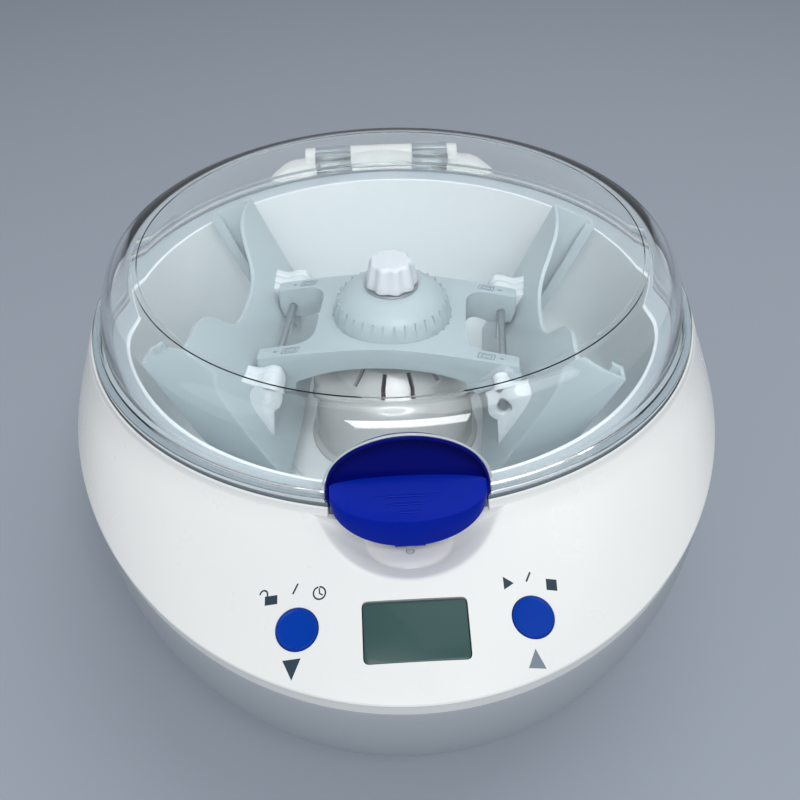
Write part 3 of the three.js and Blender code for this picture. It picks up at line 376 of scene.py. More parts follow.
# Glass-filled nylon for the rotor and the carriers: blue grey, satin, faintly cloudy
rotor_nylon = moulded("blue grey filled nylon", "#a3b0b5", "#98a6ab", 0.42, grain=0.8)
carrier_nylon = moulded("pale blue grey nylon", "#aebbc0", "#a2b1b6", 0.4, grain=0.8)
# White nylon for the lugs and plunger; the same white also paints the highlight ring round the latch cup
lug_nylon_and_edge_highlight = moulded("white nylon lug and painted edge highlight", "#ced5d9", "#c5cdd1", 0.38)
knob_abs = moulded("white moulded knob", "#c9cdd3", "#c1c6cd", 0.36)
# Saturated blue ABS of the latch. Its surface mirrors little, so the blue stays deep
dull = {"Specular IOR Level": 0.07}
latch_blue = moulded("deep blue abs", "#0324a6", "#021e96", 0.3, relief=0.008, **dull)
cup_blue = moulded("dark blue abs", "#030c7a", "#020868", 0.3, relief=0.008, **dull)
key_blue = moulded("bright blue key", "#023ba6", "#02379c", 0.32, relief=0.006, **dull)
black_abs = moulded("black moulded abs", "#26292c", "#202326", 0.45)
seal_rubber = moulded("grey silicone seal", "#7f8b93", "#727f88", 0.6, relief=0.03)
foot_rubber = moulded("dark rubber", "#2f3336", "#26292c", 0.8, relief=0.05)
print("plastics are ready")

# %% [markdown]
# ### Clear, metal and printed finishes
#
# Polycarbonate has no colour in a thin wall, but its cut edges look grey blue because light has
# travelled a long way inside. Its real index is 1.58, and 1.5 is used here. Steel gets fine turning
# lines from a stretched noise. The display is a grey-green liquid crystal behind a thin window.

# %% Polycarbonate
def polycarbonate(name, tone, shade, roughness):
    """Clear plastic with a faint haze. Lamps shine through it, a little dimmed by shade."""
    finish, tree, where = started(name)
    gloss = ranged(tree, noise(tree, where, 60.0, 5.0), roughness, roughness + 0.03, 0.4, 0.75)
    clear = add(tree, "ShaderNodeBsdfPrincipled", values={
        "Base Color": colour(tone), "IOR": 1.5, "Transmission Weight": 1.0}, links={"Roughness": gloss})
    through = add(tree, "ShaderNodeBsdfTransparent", values={"Color": colour(shade)})
    ray = add(tree, "ShaderNodeLightPath")
    blend = add(tree, "ShaderNodeMixShader", links={
        0: ray.outputs["Is Shadow Ray"], 1: clear.outputs["BSDF"], 2: through.outputs["BSDF"]})
    ended(tree, blend.outputs[0])
    return finish


lid_clear = polycarbonate("clear polycarbonate", "#fdfefe", "#f4f6f6", 0.01)
knuckle_clear = polycarbonate("frosted polycarbonate", "#e3ebee", "#dfe6e9", 0.12)


# %% Steel, display and circuit board
def turned_steel(name, tone, roughness):
    finish, tree, where = started(name)
    stretch = add(tree, "ShaderNodeMapping", values={"Scale": (4000.0, 400.0, 4000.0)},
                  links={"Vector": where})
    lines = noise(tree, stretch.outputs["Vector"], 1.0, 2.0)
    metal = add(tree, "ShaderNodeBsdfPrincipled", values={"Base Color": colour(tone), "Metallic": 1.0},
                links={"Roughness": ranged(tree, lines, roughness - 0.06, roughness + 0.1)})
    ended(tree, metal.outputs["BSDF"])
    return finish


steel = turned_steel("turned steel", "#b4babe", 0.28)
plate_steel = turned_steel("rolled steel plate", "#9aa1a6", 0.4)


def display_glass():
    """Grey-green liquid crystal, a little cloudy, under a window that mirrors little."""
    finish, tree, where = started("liquid crystal window")
    tint = blended(tree, noise(tree, where, 25.0, 1.0), "#2f4d4b", "#385754")
    window = add(tree, "ShaderNodeBsdfPrincipled", values={
        "Roughness": 0.35, "IOR": 1.5, "Coat Weight": 0.1, "Coat Roughness": 0.05,
        "Specular IOR Level": 0.2}, links={"Base Color": tint})
    ended(tree, window.outputs["BSDF"])
    return finish


def circuit_board():
    """Green lacquer over copper tracks about 1.5 mm apart."""
    finish, tree, where = started("green circuit board")
    tracks = add(tree, "ShaderNodeTexWave", values={"Scale": 100.0, "Distortion": 2.0},
                 links={"Vector": where})
    share = ranged(tree, tracks.outputs["Fac"], 0.0, 1.0, 0.75, 0.85)
    skin = add(tree, "ShaderNodeBsdfPrincipled", values={"Roughness": 0.3, "IOR": 1.5},
               links={"Base Color": blended(tree, share, "#1f5a3c", "#2f7a50")})
    ended(tree, skin.outputs["BSDF"])
    return finish


display_face = display_glass()
board_green = circuit_board()
print("clear, metal and display finishes are ready")


# %% Printed ink
def ink(name, tone):
    """Screen-printed ink: a thin matt film, slightly uneven in thickness."""
    finish, tree, where = started(name)
    gloss = ranged(tree, noise(tree, where, 900.0, 2.0), 0.45, 0.65)
    skin = add(tree, "ShaderNodeBsdfPrincipled", values={"Base Color": colour(tone), "IOR": 1.45},
               links={"Roughness": gloss})
    ended(tree, skin.outputs["BSDF"])
    return finish


dark_ink = ink("dark blue ink", "#16303f")
grey_ink = ink("grey ink", "#74838e")
symbol_ink = ink("symbol ink", "#5b6f7a")

# %% [markdown]
# ## The top shell
#
# The top of the housing is an egg in plan. Its panel falls almost evenly from the lip round the lid
# to a crisp edge. A grid in polar order follows that rule: each ring of points is one step from
# the lip to the edge, and the finger scoop is pressed into the same grid, so that its rim is as
# soft as in a mould. Openings and the hinge block are cut and joined as solids afterwards.

# %% The panel's height
def fall(share):
    return mix(PANEL_TOP, EDGE_Z, 0.92 * share + 0.08 * share ** 4)


def egg_point(angle, share, inset=0.0):
    width, front, rear = (mix(PANEL, size, share) - inset for size in EDGE)
    widest = WIDEST * share
    reach = front + widest if math.sin(angle) < 0 else rear - widest
    return width * math.cos(angle), widest + reach * math.sin(angle)


def panel_height(x, y):
    low, high = 0.0, 1.0
    for _ in range(40):
        share = (low + high) / 2
        width, front, rear = (mix(PANEL, size, share) for size in EDGE)
        dy = y - WIDEST * share
        reach = front + WIDEST * share if dy < 0 else rear - WIDEST * share
        if (x / width) ** 2 + (dy / reach) ** 2 > 1:
            low = share
        else:
            high = share
    return fall(low)


def panel_frame(x, y):
    """A frame whose Z stands square on the panel."""
    step = 3.65                # the slope is read this far to each side
    along = panel_height(x + step, y) - panel_height(x - step, y)
    back = panel_height(x, y + step) - panel_height(x, y - step)
    normal = Vector((-along, -back, 2 * step)).normalized()
    turn = Vector((0, 0, 1)).rotation_difference(normal).to_matrix().to_4x4()
    return machine @ Matrix.Translation((x, y, panel_height(x, y))) @ turn


DISPLAY_Y = 179.5
display_frame = panel_frame(0, -DISPLAY_Y)
key_frames = {"left": panel_frame(-40.4, 3.5 - DISPLAY_Y), "right": panel_frame(40.4, 3.5 - DISPLAY_Y)}
print("the panel falls", round(PANEL_TOP - panel_height(0, -DISPLAY_Y), 1), "mm to the display")


# %% The scoop: a dish with a flat floor under the grip
def scoop_height(x, y):
    """Its wall is a cone from a small oval floor up to a wider oval."""
    deep = 11.5
    floor = math.hypot(x / 16, (y + PANEL) / 12.4)
    wide = math.hypot(x / 33, (y + PANEL) / 32.1)
    return PANEL_TOP - deep + (deep * (floor - 1) / (floor / wide - 1) if floor > 1 else 0)


def soft_low(a, b):
    """The lower of two heights, with the crease between them rounded."""
    width = 0.35
    low = min(a, b)
    return low - width * math.log(math.exp((low - a) / width) + math.exp((low - b) / width))


# %% Rings of the top shell
GAP = 29.2                     # lip and seal are open this far to both sides of the latch
angles = {round(math.radians(0.75 * k), 7) for k in range(480)}
angles |= {round(math.radians(270 + 0.25 * k), 7) for k in range(-64, 65)}
for turn in (-1, 1):
    corner = turn * math.asin(GAP / 140.5)
    angles |= {round(1.5 * math.pi + corner + nudge, 7) for nudge in (-0.0004, 0.0004)}
angles = sorted(angles)


def level_ring(radius, height, gap_height=None):
    ring = []
    for angle in angles:
        x, y = radius * math.cos(angle), radius * math.sin(angle)
        in_gap = gap_height is not None and y < 0 and abs(x) < GAP * radius / 140.5
        ring.append((x, y, gap_height if in_gap else height))
    return ring


def panel_ring(share):
    """One ring of the panel, with the fillet at the lip's foot and the scoop."""
    ring = []
    for angle in angles:
        x, y = egg_point(angle, share)
        z = fall(share)
        out = math.hypot(x, y) - PANEL
        if out < 7:
            open_front = min(1.0, max(0.0, (abs(x) - GAP) / 5)) if y < 0 else 1.0
            z += 1.3 * (1 - out / 7) ** 2.2 * open_front
        ring.append((x, y, soft_low(z, scoop_height(x, y)) if y < -100 and abs(x) < 45 else z))
    return ring


def edge_ring(inset, height):
    return [(*egg_point(angle, 1.0, inset), height) for angle in angles]


shares = [0.0] + [((k + 1) / 56) ** 1.15 for k in range(55)] + [0.994]
outer = [level_ring(127.1, 116.2), level_ring(LIP, 116.2)]
outer += [level_ring(LIP + 0.1, 120.7, PANEL_TOP), level_ring(LIP + 0.45, 121.1, PANEL_TOP)]
outer += [level_ring(140.25, 121.1, PANEL_TOP), level_ring(140.6, 120.8, PANEL_TOP)]
outer += [level_ring(PANEL - 0.6, 118.9, PANEL_TOP), level_ring(PANEL - 0.02, 118.3, PANEL_TOP)]
outer += [panel_ring(share) for share in shares]
outer += [edge_ring(0.0, EDGE_Z - 0.35), edge_ring(0.05, EDGE_Z - 0.9), edge_ring(0.35, EDGE_Z - 1.15)]
outer += [edge_ring(1.0, EDGE_Z - 1.2), edge_ring(1.0, SEAM_Z + 0.3), edge_ring(1.3, SEAM_Z)]
inner = [edge_ring(4.0, SEAM_Z), edge_ring(4.0, EDGE_Z - 5)]
for share in [0.94 * (1 - k / 30) for k in range(31)]:
    above = panel_ring(share)
    inner.append([(x, y, min(z - 3.2, 113.2)) for x, y, z in above])
inner += [[(x * 0.979, y * 0.979, z) for x, y, z in inner[-1]], level_ring(PANEL * 0.979, 113.2)]
inner += [level_ring(127.1, 113.2)]
top_shell = skinned("top_shell_moulding", outer + inner)
print("rings:", len(outer) + len(inner), "of", len(angles), "points")

# %% [markdown]
# The hinge block at the rear is a low mound with a barrel across its top. It is skinned from four
# outlines whose rear side bulges, then the knuckles' slots are cut out of it.

# %% Hinge block
def mound_ring(lift, half, share):
    steps = 40
    corner = math.sqrt(PANEL ** 2 - 71 ** 2)
    rear = []
    for k in range(steps + 1):
        x = half * (2 * k / steps - 1)
        bulge = mix(BOWL + 26.5, corner, (x / 71) ** 4)
        edge = WIDEST + (EDGE[2] - WIDEST) * math.sqrt(1 - (x / EDGE[0]) ** 2)
        rear.append((x, mix(edge - RUN, bulge, share), RIM + lift))
    return rear + [(half, BOWL - 10, RIM + lift), (-half, BOWL - 10, RIM + lift)]


mound = skinned("mound", [mound_ring(-23, 71, 0), mound_ring(-5, 71, 1), mound_ring(0, 70, 1),
                          mound_ring(4, 64.5, 1), mound_ring(7, 58, 0.985), mound_ring(8, 54, 0.93)],
                capped=True)
barrel = pushed("barrel", circle(5.4, 48, HINGE_Y, HINGE_Z), -45.6, 45.6, "X")
web = box("web", (-45.6, HINGE_Y - 5.4, RIM), (45.6, HINGE_Y + 5.4, HINGE_Z))
join(mound, barrel, web)
cut(mound, pushed("well", circle(LIP + RUN, 180), 0, 160))
for x in (-KNUCKLE_X, KNUCKLE_X):
    reach = KNUCKLE_HALF + RUN
    cut(mound, box("slot", (x - reach, 100, HINGE_Z - 7), (x + reach, 170, 160)))
cut(mound, pushed("bore", circle(PIN_BORE, 32, HINGE_Y, HINGE_Z), -60, 60, "X"))
softened(mound, 0.5)
join(top_shell, mound)
print("the shell with its hinge block has", len(top_shell.data.polygons), "faces")

# %% Openings for the display and the keys
def rounded_window(width, height, corner):
    x, y = width / 2, height / 2
    return rounded([(-x, -y, corner), (x, -y, corner), (x, y, corner), (-x, y, corner)], steps=8)


cut(top_shell, pushed("window", rounded_window(36.4, 21.4, 2.2), -10, 10, "Z", display_frame))
for where in key_frames.values():
    cut(top_shell, pushed("well", circle(7.6, 64), -10, 10, "Z", where))
cut(top_shell, pushed("plunger way", circle(1.6, 24, 0, -146), 90, 118))
dress(top_shell, "housing", shell_abs, "top_shell", "top_shell", angle=28)

# %% [markdown]
# ## The base tray
#
# Under a fine seam the base goes on as a tapered tub: its sides stay steep at first and then draw
# in towards the feet. It follows one rule for all its rings, so it is skinned like the panel.

# %% Base tray
BASE = (120.0, 158.0, 118.0)


def tub_ring(share, inset, height):
    drawn = share - 1.28 * share * (1 - share)
    width, front, rear = (mix(high - 1, low, drawn) - inset for high, low in zip(EDGE, BASE))
    widest = mix(WIDEST, 0, drawn)
    ring = []
    for k in range(360):
        angle = math.radians(k)
        reach = front + widest if math.sin(angle) < 0 else rear - widest
        ring.append((width * math.cos(angle), widest + reach * math.sin(angle), height))
    return ring


TUB_TOP, TUB_LOW, TUB_FLOOR = SEAM_Z - RUN, 5.0, 8.0
rings = [tub_ring(1, 2.2, TUB_LOW), tub_ring(1, 0.8, TUB_LOW + 0.3), tub_ring(0.985, 0.1, TUB_LOW + 1.3)]
rings += [tub_ring(s, 0, mix(TUB_TOP, TUB_LOW, s)) for s in [0.96 - k * 0.035 for k in range(27)]]
rings += [tub_ring(0, 0, TUB_TOP - 0.5), tub_ring(0, 0.15, TUB_TOP - 0.12), tub_ring(0, 0.5, TUB_TOP)]
rings += [tub_ring(0, 3, TUB_TOP)]
rings += [tub_ring(s, 3, mix(TUB_TOP, TUB_FLOOR, s)) for s in [k / 12 for k in range(1, 13)]]
tray = skinned("base_tray_moulding", rings, capped=True)
BAY_Y, BAY_Z = 118.0, 20.0


def bay_box(name, grow, start):
    return box(name, (-24 - grow, start, BAY_Z - 10 - grow), (24 + grow, 182, BAY_Z + 10 + grow))


solid_tub = skinned("tub", [tub_ring(s, 0, mix(TUB_TOP, TUB_LOW, s)) for s in [k / 24 for k in range(25)]],
                    capped=True)
join(tray, keep(bay_box("bay wall", 3, BAY_Y - 3), solid_tub))
cut(tray, bay_box("bay", 0, BAY_Y))
for x, width, height in ((-12, 12, 11), (10, 19, 13)):
    cut(tray, box("opening", (x - width / 2 - RUN, 98, BAY_Z - height / 2 - RUN),
                  (x + width / 2 + RUN, 160, BAY_Z + height / 2 + RUN)))
for angle in (90, 210, 330):
    spot = (42 * math.cos(math.radians(angle)), 42 * math.sin(math.radians(angle)))
    cut(tray, pushed("screw well", circle(4.3, 32, *spot), 0, 8.1))
# The base's grey finish is painted shade
dress(tray, "housing", base_abs_painted_shade, "base_shell", "base_tray", angle=30)

# %% Feet
for name in ("foot_front_left", "foot_front_right", "foot_rear_left", "foot_rear_right"):
    low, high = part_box(name)
    spot = machine.inverted() @ Vector(((low.x + high.x) / 2, (low.y + high.y) / 2, 0))
    pad = rounded([(0, 0), (7.5, 0, 0.8), (9, 4.7, 0.3), (0, 4.7)], closed=False)
    made = turned(name + "_rubber", pad, 48, machine @ Matrix.Translation((spot.x, spot.y, 0)))
    dress(made, "housing", foot_rubber, "rubber", name)

# %% [markdown]
# ## Bowl, seal and motor cover
#
# These are round, so each is an outline turned about the axis. The bowl's rim stands up a little beside a
# thin band painted grey as shade, which draws the bright line seen round it, and its floor has one fine
# groove.

# %% Bowl
bowl_line = [(124, RIM + 0.3, 0.5)] + bend((120.5, 57), (118, 35), (103, 35), 16)
bowl_line += [(64.2, 35), (63.4, 34.1), (63, 33.9), (62.6, 34.1), (61.8, 35), (35, 35, 0.5), (35, 32.5)]
bowl_line += bend((103, 32.5), (120.5, 32.5), (123, 57), 12)
bowl_line += [(126.5, 114), (126.5, 116.5), (135.5, 116.5), (135.5, RIM, 0.6), (125.5, RIM, 0.2),
              (125.2, RIM + 0.3, 0.2)]
bowl_line = rounded(bowl_line)
bowl = turned("bowl_moulding", bowl_line, 240)
dress(bowl, "housing", bowl_abs, "bowl", "bowl", angle=30)
# A thin grey ring laid on the bowl's flange: painted shade
band_line = [(125.7, RIM - 0.1), (135.2, RIM - 0.1), (135.2, RIM + 0.2), (125.7, RIM + 0.2)]
band = turned("rim_shade_band", band_line, 240)
dress(band, "housing", rim_painted_shade, "bowl", "bowl", angle=30)

# %% Seal
seal_line = rounded([(135.8, 116.5, 0.3), (139.1, 116.5, 0.3), (139.1, 122.45, 0.8),
                     (135.8, 122.45, 0.8)])
seal = turned("rim_seal", seal_line, 240)
cut(seal, box("gap", (-GAP, -300, RIM - RUN), (GAP, 0, 160)))
dress(seal, "housing", seal_rubber, "rubber", "rim_gasket", angle=30)

# %% [markdown]
# The motor's cover has a ring of twelve slits. A repeated cut is a rule, so a small Geometry Nodes tree
# makes it: one bar is set on every point of a circle, and the bars are taken out of the cover.

# %% A node tree with named inputs
def node_tree(name, sizes):
    tree = bpy.data.node_groups.new(name, "GeometryNodeTree")
    tree.interface.new_socket("Geometry", in_out="INPUT", socket_type="NodeSocketGeometry")
    tree.interface.new_socket("Geometry", in_out="OUTPUT", socket_type="NodeSocketGeometry")
    for size, kind in sizes.items():
        tree.interface.new_socket(size, in_out="INPUT", socket_type=kind)
    return tree, tree.nodes.new("NodeGroupInput").outputs


def grown(made, tree, values):
    """Runs a tree on a part with these inputs, and leaves a plain mesh."""
    step = made.modifiers.new(tree.name, "NODES")
    step.node_group = tree
    for item in tree.interface.items_tree:
        if item.in_out == "INPUT" and item.name in values:
            step[item.identifier] = values[item.name]
    return plain(made)


def tree_end(tree, geometry, finish):
    real = add(tree, "GeometryNodeRealizeInstances", links={"Geometry": geometry})
    coat = add(tree, "GeometryNodeSetMaterial", values={"Material": finish},
               links={"Geometry": real.outputs[0]})
    add(tree, "NodeGroupOutput", links={"Geometry": coat.outputs[0]})


# %% Bars on a circle
def ring_of_bars(name, finish, how):
    """Bars on a circle, cut out of a part or added to it."""
    sizes = {"Count": "NodeSocketInt", "Radius": "NodeSocketFloat", "Bar": "NodeSocketVector",
             "Centre": "NodeSocketVector", "Lean": "NodeSocketFloat", "Turn": "NodeSocketFloat"}
    tree, given = node_tree(name, sizes)
    ring = add(tree, "GeometryNodeMeshCircle",
               links={"Vertices": given["Count"], "Radius": given["Radius"]})
    bar = add(tree, "GeometryNodeMeshCube", links={"Size": given["Bar"]})
    spot = add(tree, "GeometryNodeInputPosition")
    aim = add(tree, "FunctionNodeAlignRotationToVector", {"axis": "X"},
              links={"Vector": spot.outputs[0]})
    tilt = add(tree, "ShaderNodeCombineXYZ", links={"Y": given["Lean"]})
    lean = add(tree, "FunctionNodeRotateRotation", {"rotation_space": "LOCAL"},
               links={"Rotation": aim.outputs[0], "Rotate By": tilt.outputs[0]})
    copies = add(tree, "GeometryNodeInstanceOnPoints", links={
        "Points": ring.outputs[0], "Instance": bar.outputs["Mesh"], "Rotation": lean.outputs[0]})
    real = add(tree, "GeometryNodeRealizeInstances", links={"Geometry": copies.outputs[0]})
    twist = add(tree, "ShaderNodeCombineXYZ", links={"Z": given["Turn"]})
    moved = add(tree, "GeometryNodeTransform", links={
        "Geometry": real.outputs[0], "Translation": given["Centre"], "Rotation": twist.outputs[0]})
    if how == "DIFFERENCE":
        done = add(tree, "GeometryNodeMeshBoolean", {"operation": how, "solver": "MANIFOLD"},
                   links={"Mesh 1": given["Geometry"], "Mesh 2": moved.outputs[0]})
    else:
        done = add(tree, "GeometryNodeJoinGeometry", links={"Geometry": given["Geometry"]})
        tree.links.new(moved.outputs[0], done.inputs[0])
    tree_end(tree, done.outputs[0], finish)
    return tree


# %% Motor cover
cover_line = [(44.5, 35.3), (44.5, 36.9, 0.6), (41.5, 38.5, 1.5), (41.5, 79.8, 2.4), (29.8, 80.4, 1)]
cover_line += [(22, 88.4, 2.5), (12.9, 90, 0.5), (12.5, 87.4), (20.6, 86.2), (28.2, 78.2), (38.6, 77.8, 2)]
cover_line = rounded(cover_line + [(39.1, 35.3)])
cover = turned("motor_cover_moulding", cover_line, 192)
slit_tree = ring_of_bars("slits", cover_abs, "DIFFERENCE")
centre = machine @ Vector((0, 0, 84.4))
grown(cover, slit_tree, {"Count": 12, "Radius": 0.0255, "Bar": (0.008, 0.0022, 0.0098),
                         "Centre": tuple(centre), "Lean": -0.78, "Turn": math.radians(17.1)})
dress(cover, "housing", cover_abs, "motor_cover", "motor_cover", angle=30)

# %% [markdown]
# ## Display, keys and printing
#
# The display lies in a window with rounded corners, a little below the panel, which gives the dark
# shadow along its upper edge. Each key is a flat cap with a slightly raised rim. The printed signs
# are plain symbols: they follow the panel's height point by point and stand only a film above it.

# %% Display window and keys
window = pushed("display_pane", rounded_window(35.8, 20.8, 2.0), -4.0, -1.3, "Z", display_frame)
softened(window, 0.25)
dress(window, "housing", display_face, "display", "display_window")
for side, where in key_frames.items():
    cap = [(0, 0.5), (5.9, 0.5), (6.3, 0.56), (6.6, 0.72), (6.9, 0.72), (7.2, 0.5), (7.3, 0.2)]
    cap += [(7.3, -4.8), (8.5, -4.8), (8.5, -5.9), (2.4, -5.9), (2.4, -8.3), (0, -8.3)]
    key = turned("key_cap_" + side, cap, 96, where)
    dress(key, "key_" + side, key_blue, "button", "button_" + side, angle=40)


# %% Printed signs
def stroke(path, width):
    """The outline of a line of this width."""
    ahead, back = [], []
    for i, point in enumerate(path):
        a, b = Vector(path[max(i - 1, 0)]), Vector(path[min(i + 1, len(path) - 1)])
        way = (b - a).normalized()
        aside = Vector((-way.y, way.x)) * width / 2
        ahead.append(tuple(Vector(point) + aside))
        back.append(tuple(Vector(point) - aside))
    return ahead + back[::-1]


def printed(name, shapes, height, finish, body, slot, where=machine):
    """Flat signs on a curved surface. height gives the surface under a point."""
    points, faces = [], []
    for shape in shapes:
        first, count = len(points), len(shape)
        points += [(x, y, height(x, y) + 0.05) for x, y in shape]
        points += [(x, y, height(x, y) - 0.12) for x, y in shape]
        faces.append(tuple(range(first, first + count)))
        faces.append(tuple(range(first + 2 * count - 1, first + count - 1, -1)))
        for i in range(count):
            j = (i + 1) % count
            faces.append((first + i, first + count + i, first + count + j, first + j))
    return dress(part(name, points, faces, where), body, finish, slot, angle=20)


def arc(across, up, radius, start, end, steps=14):
    turns = [math.radians(mix(start, end, k / steps)) for k in range(steps + 1)]
    return [(across + radius * math.cos(a), up + radius * math.sin(a)) for a in turns]


KEY_Y = 3.5 - DISPLAY_Y
down = [[(-45.3, -185.2), (-42.2, -191.5), (-39.1, -185.2)]]
up = [[(36.7, -192.0), (39.7, -186.0), (42.7, -192.0)]]
printed("sign_down", down, panel_height, dark_ink, "housing", "dark_plastic")
printed("sign_up", up, panel_height, grey_ink, "housing", "dark_plastic")
# Over the left key: an open padlock, a bar and a dial. Over the right key: run, a bar and stop.
lock_x, top_y = -49.5, KEY_Y + 11.2
padlock = [[(lock_x - 2.2, top_y - 2), (lock_x + 2.2, top_y - 2), (lock_x + 2.2, top_y + 1),
            (lock_x - 2.2, top_y + 1)],
           stroke([(lock_x - 1.3, top_y + 0.9), (lock_x - 1.3, top_y + 1.6)]
                  + arc(lock_x - 2.6, top_y + 1.8, 1.3, 0, 180), 0.55)]
dial = [stroke(arc(-32.6, top_y - 0.1, 2.1, 100, 450, 28), 0.55),
        stroke([(-32.6, top_y + 1.5), (-32.6, top_y - 0.2), (-31.5, top_y - 0.9)], 0.5)]
bars = [stroke([(x - 0.9, top_y + 0.6), (x + 0.9, top_y + 3.9)], 0.6) for x in (-41.0, 40.4)]
play = [[(31.4, top_y - 2.2), (35.0, top_y), (31.4, top_y + 2.2)]]
stop = [[(46.4, top_y - 2), (50.2, top_y - 2.2), (50.4, top_y + 1.6), (46.6, top_y + 1.8)]]
printed("sign_row", padlock + dial + bars + play + stop, panel_height, dark_ink, "housing", "dark_plastic")

# %% [markdown]
# ## The lid
#
# The lid is one clear moulding: a stepped flange, a steep wall and a flat crown. It is turned from
# its outline, flat at the rear where the hinge arms start, and open at the front for the latch. A
# true wall of 2.5 mm is modelled, because the grey lines at its edge are refraction in that wall.

# %% Lid
def crown(radius):
    return RIM + mix(39.7, 34.5, (radius / 118) ** 2)


def dome_outline(grow=0.0):
    line = [(LIP + grow, LID_FOOT, 0.3), (LIP + grow, 124.6 + grow, 0.5), (136.6 + grow, 124.6 + grow, 0.3),
            (136.3 + grow, 125.8 + grow, 0.5), (134.5 + grow, 125.8 + grow)]
    line = rounded([(130, LID_FOOT), *line], closed=False)[1:]
    line += bend((134.5 + grow, 125.8 + grow), (131.8 + grow, 154.3 + grow), (118, 153.5 + grow), 28)[1:]
    ridge = [(116.2, 0), (115.8, 0.3), (113.9, 0.3), (113.5, 0)]
    flat = [(118 - 118 * k / 22, 0) for k in range(1, 23)]
    return line + [(r, crown(r) + lift + grow) for r, lift in ridge + flat]


under = [(115.5 * k / 22, crown(118 * k / 22) - 2.5) for k in range(22)]
under += bend((115.5, 151), (129.3, 151.8), (131.2, 125.8), 28)
under += [(131.2, LID_FOOT + 0.3), (131.5, LID_FOOT)]
lid = turned("lid_moulding", dome_outline() + under, 256)
cut(lid, box("rear flat", (-150, 136.4, 100), (150, 200, 126.1)))
latch_frame = machine @ Matrix.Translation((0, -138.5, 129.5))
latch_frame = latch_frame @ Matrix.Rotation(math.radians(55.1), 4, "X")


def latch_column(grow, low, high):
    outline = [((30 + grow) * x, (19.6 + grow) * y) for x, y in circle(1, 120)]
    return pushed("column", outline, low, high, "Z", latch_frame)


cut(lid, latch_column(RUN, -12.3, 40))
dress(lid, "lid", lid_clear, "lid", "lid_dome", angle=30)

# %% Hinge arms and pin
for side, sign in (("left", -1), ("right", 1)):
    x = sign * KNUCKLE_X
    ring = [(HINGE_Y + 6.4 * math.cos(a), HINGE_Z + 6.4 * math.sin(a))
            for a in [math.radians(-125 + k * 5) for k in range(50)]]
    arm = pushed("lid_arm_" + side, ring + [(126, 129.1), (126, 123.1)], x - KNUCKLE_HALF,
                 x + KNUCKLE_HALF, "X")
    cut(arm, pushed("bore", circle(PIN_BORE, 32, HINGE_Y, HINGE_Z), x - 20, x + 20, "X"))
    cut(arm, turned("inside", dome_outline(RUN) + [(0, LID_FOOT)], 180))
    softened(arm, 0.4)
    dress(arm, "lid", knuckle_clear, "knuckle", "lid_knuckle_" + side)
pin = pushed("hinge_rod", circle(2, 40, HINGE_Y, HINGE_Z), -45, 45.3, "X")
dress(softened(pin, 0.4), "housing", steel, "steel", "hinge_pin")

# %% [markdown]
# ## The latch
#
# A dark blue cup is let into the lid's front wall, and in it the grip turns on a pin. The grip's
# top is a lens: its rear and front edges are both arched, and it thins to nothing at its tips. So
# it is skinned from cross-sections whose corners slide towards one point as they near the tip.

# %% Latch cup
def dome_solid(grow):
    line = dome_outline(grow)
    return turned("dome", [(0, RIM), (LIP + grow, RIM)] + line, 256)


def latch_pin_bore():
    return pushed("pin bore", circle(1.65, 24, -138, 123.2), -40, 40, "X")


cup = latch_column(0, -12, 40)
cut(cup, latch_column(-1.1, -10, 80))
keep(cup, box("above", (-50, -250, RIM + 0.6), (50, 0, 200)))
keep(cup, dome_solid(0.35))
cut(cup, latch_pin_bore())
softened(cup, 0.45, angle=40)
dress(cup, "lid", cup_blue, "latch_cup", "latch_cup")
# The white ring round the cup is a painted highlight: it stands for the clear lid's cut edge round the
# opening, which looks white in the light
bead = latch_column(1.15, -12.3, 40)
cut(bead, latch_column(0.4, -13, 80), dome_solid(-0.3))
keep(bead, dome_solid(0.35))
keep(bead, box("upper", (-50, -250, RIM + 7), (50, 0, 200)))
dress(bead, "lid", lug_nylon_and_edge_highlight, "latch_cup")

# %% Latch grip
middle_line = [(-131, 129.6), (-135, 127.9), (-139.5, 126.2), (-144, 124.7), (-148, 123.5), (-150.3, 113.4),
               (-146.5, 112.9), (-141, 115.5), (-136, 120.8), (-132.6, 125.2)]
tip_line = [(-134.4, 129.0), (-135, 128.9), (-135.6, 128.8), (-136.2, 128.6), (-136.8, 128.3),
            (-137.4, 126.2), (-136.8, 126.0), (-136.1, 126.0), (-135.4, 126.3), (-134.8, 127.4)]
sections = []
for k in range(65):
    reach = math.sin(math.pi * (k / 64 - 0.5))
    open_by = math.sqrt(max(0.0, 1 - reach * reach))
    section = []
    for (y, z), (tip_y, tip_z) in zip(middle_line, tip_line):
        section.append((28.3 * reach, mix(tip_y, y, open_by), mix(tip_z, z, open_by ** 0.9)))
    sections.append(section)
grip = skinned("grip", sections, capped=True)
hook = [(-148.6, 118.7), (-148.6, 111.5), (-145.3, 107.2), (-142.1, 107.2), (-142.1, 109.5)]
hook += [(-144.6, 109.5), (-144.6, 118.7)]
join(grip, pushed("hook", hook, -5.5, 5.5, "X"))
cut(grip, latch_pin_bore())
cut(grip, pushed("keyhole", circle(1.6, 24, 0, -146), 100, 109.7))
softened(grip, 0.5, angle=38)
print("the grip has", len(grip.data.polygons), "faces")

# %% [markdown]
# Three ribs on the grip get shorter towards its front. They are one long bead on each point of a
# line, scaled by its number, so a small node tree makes them.

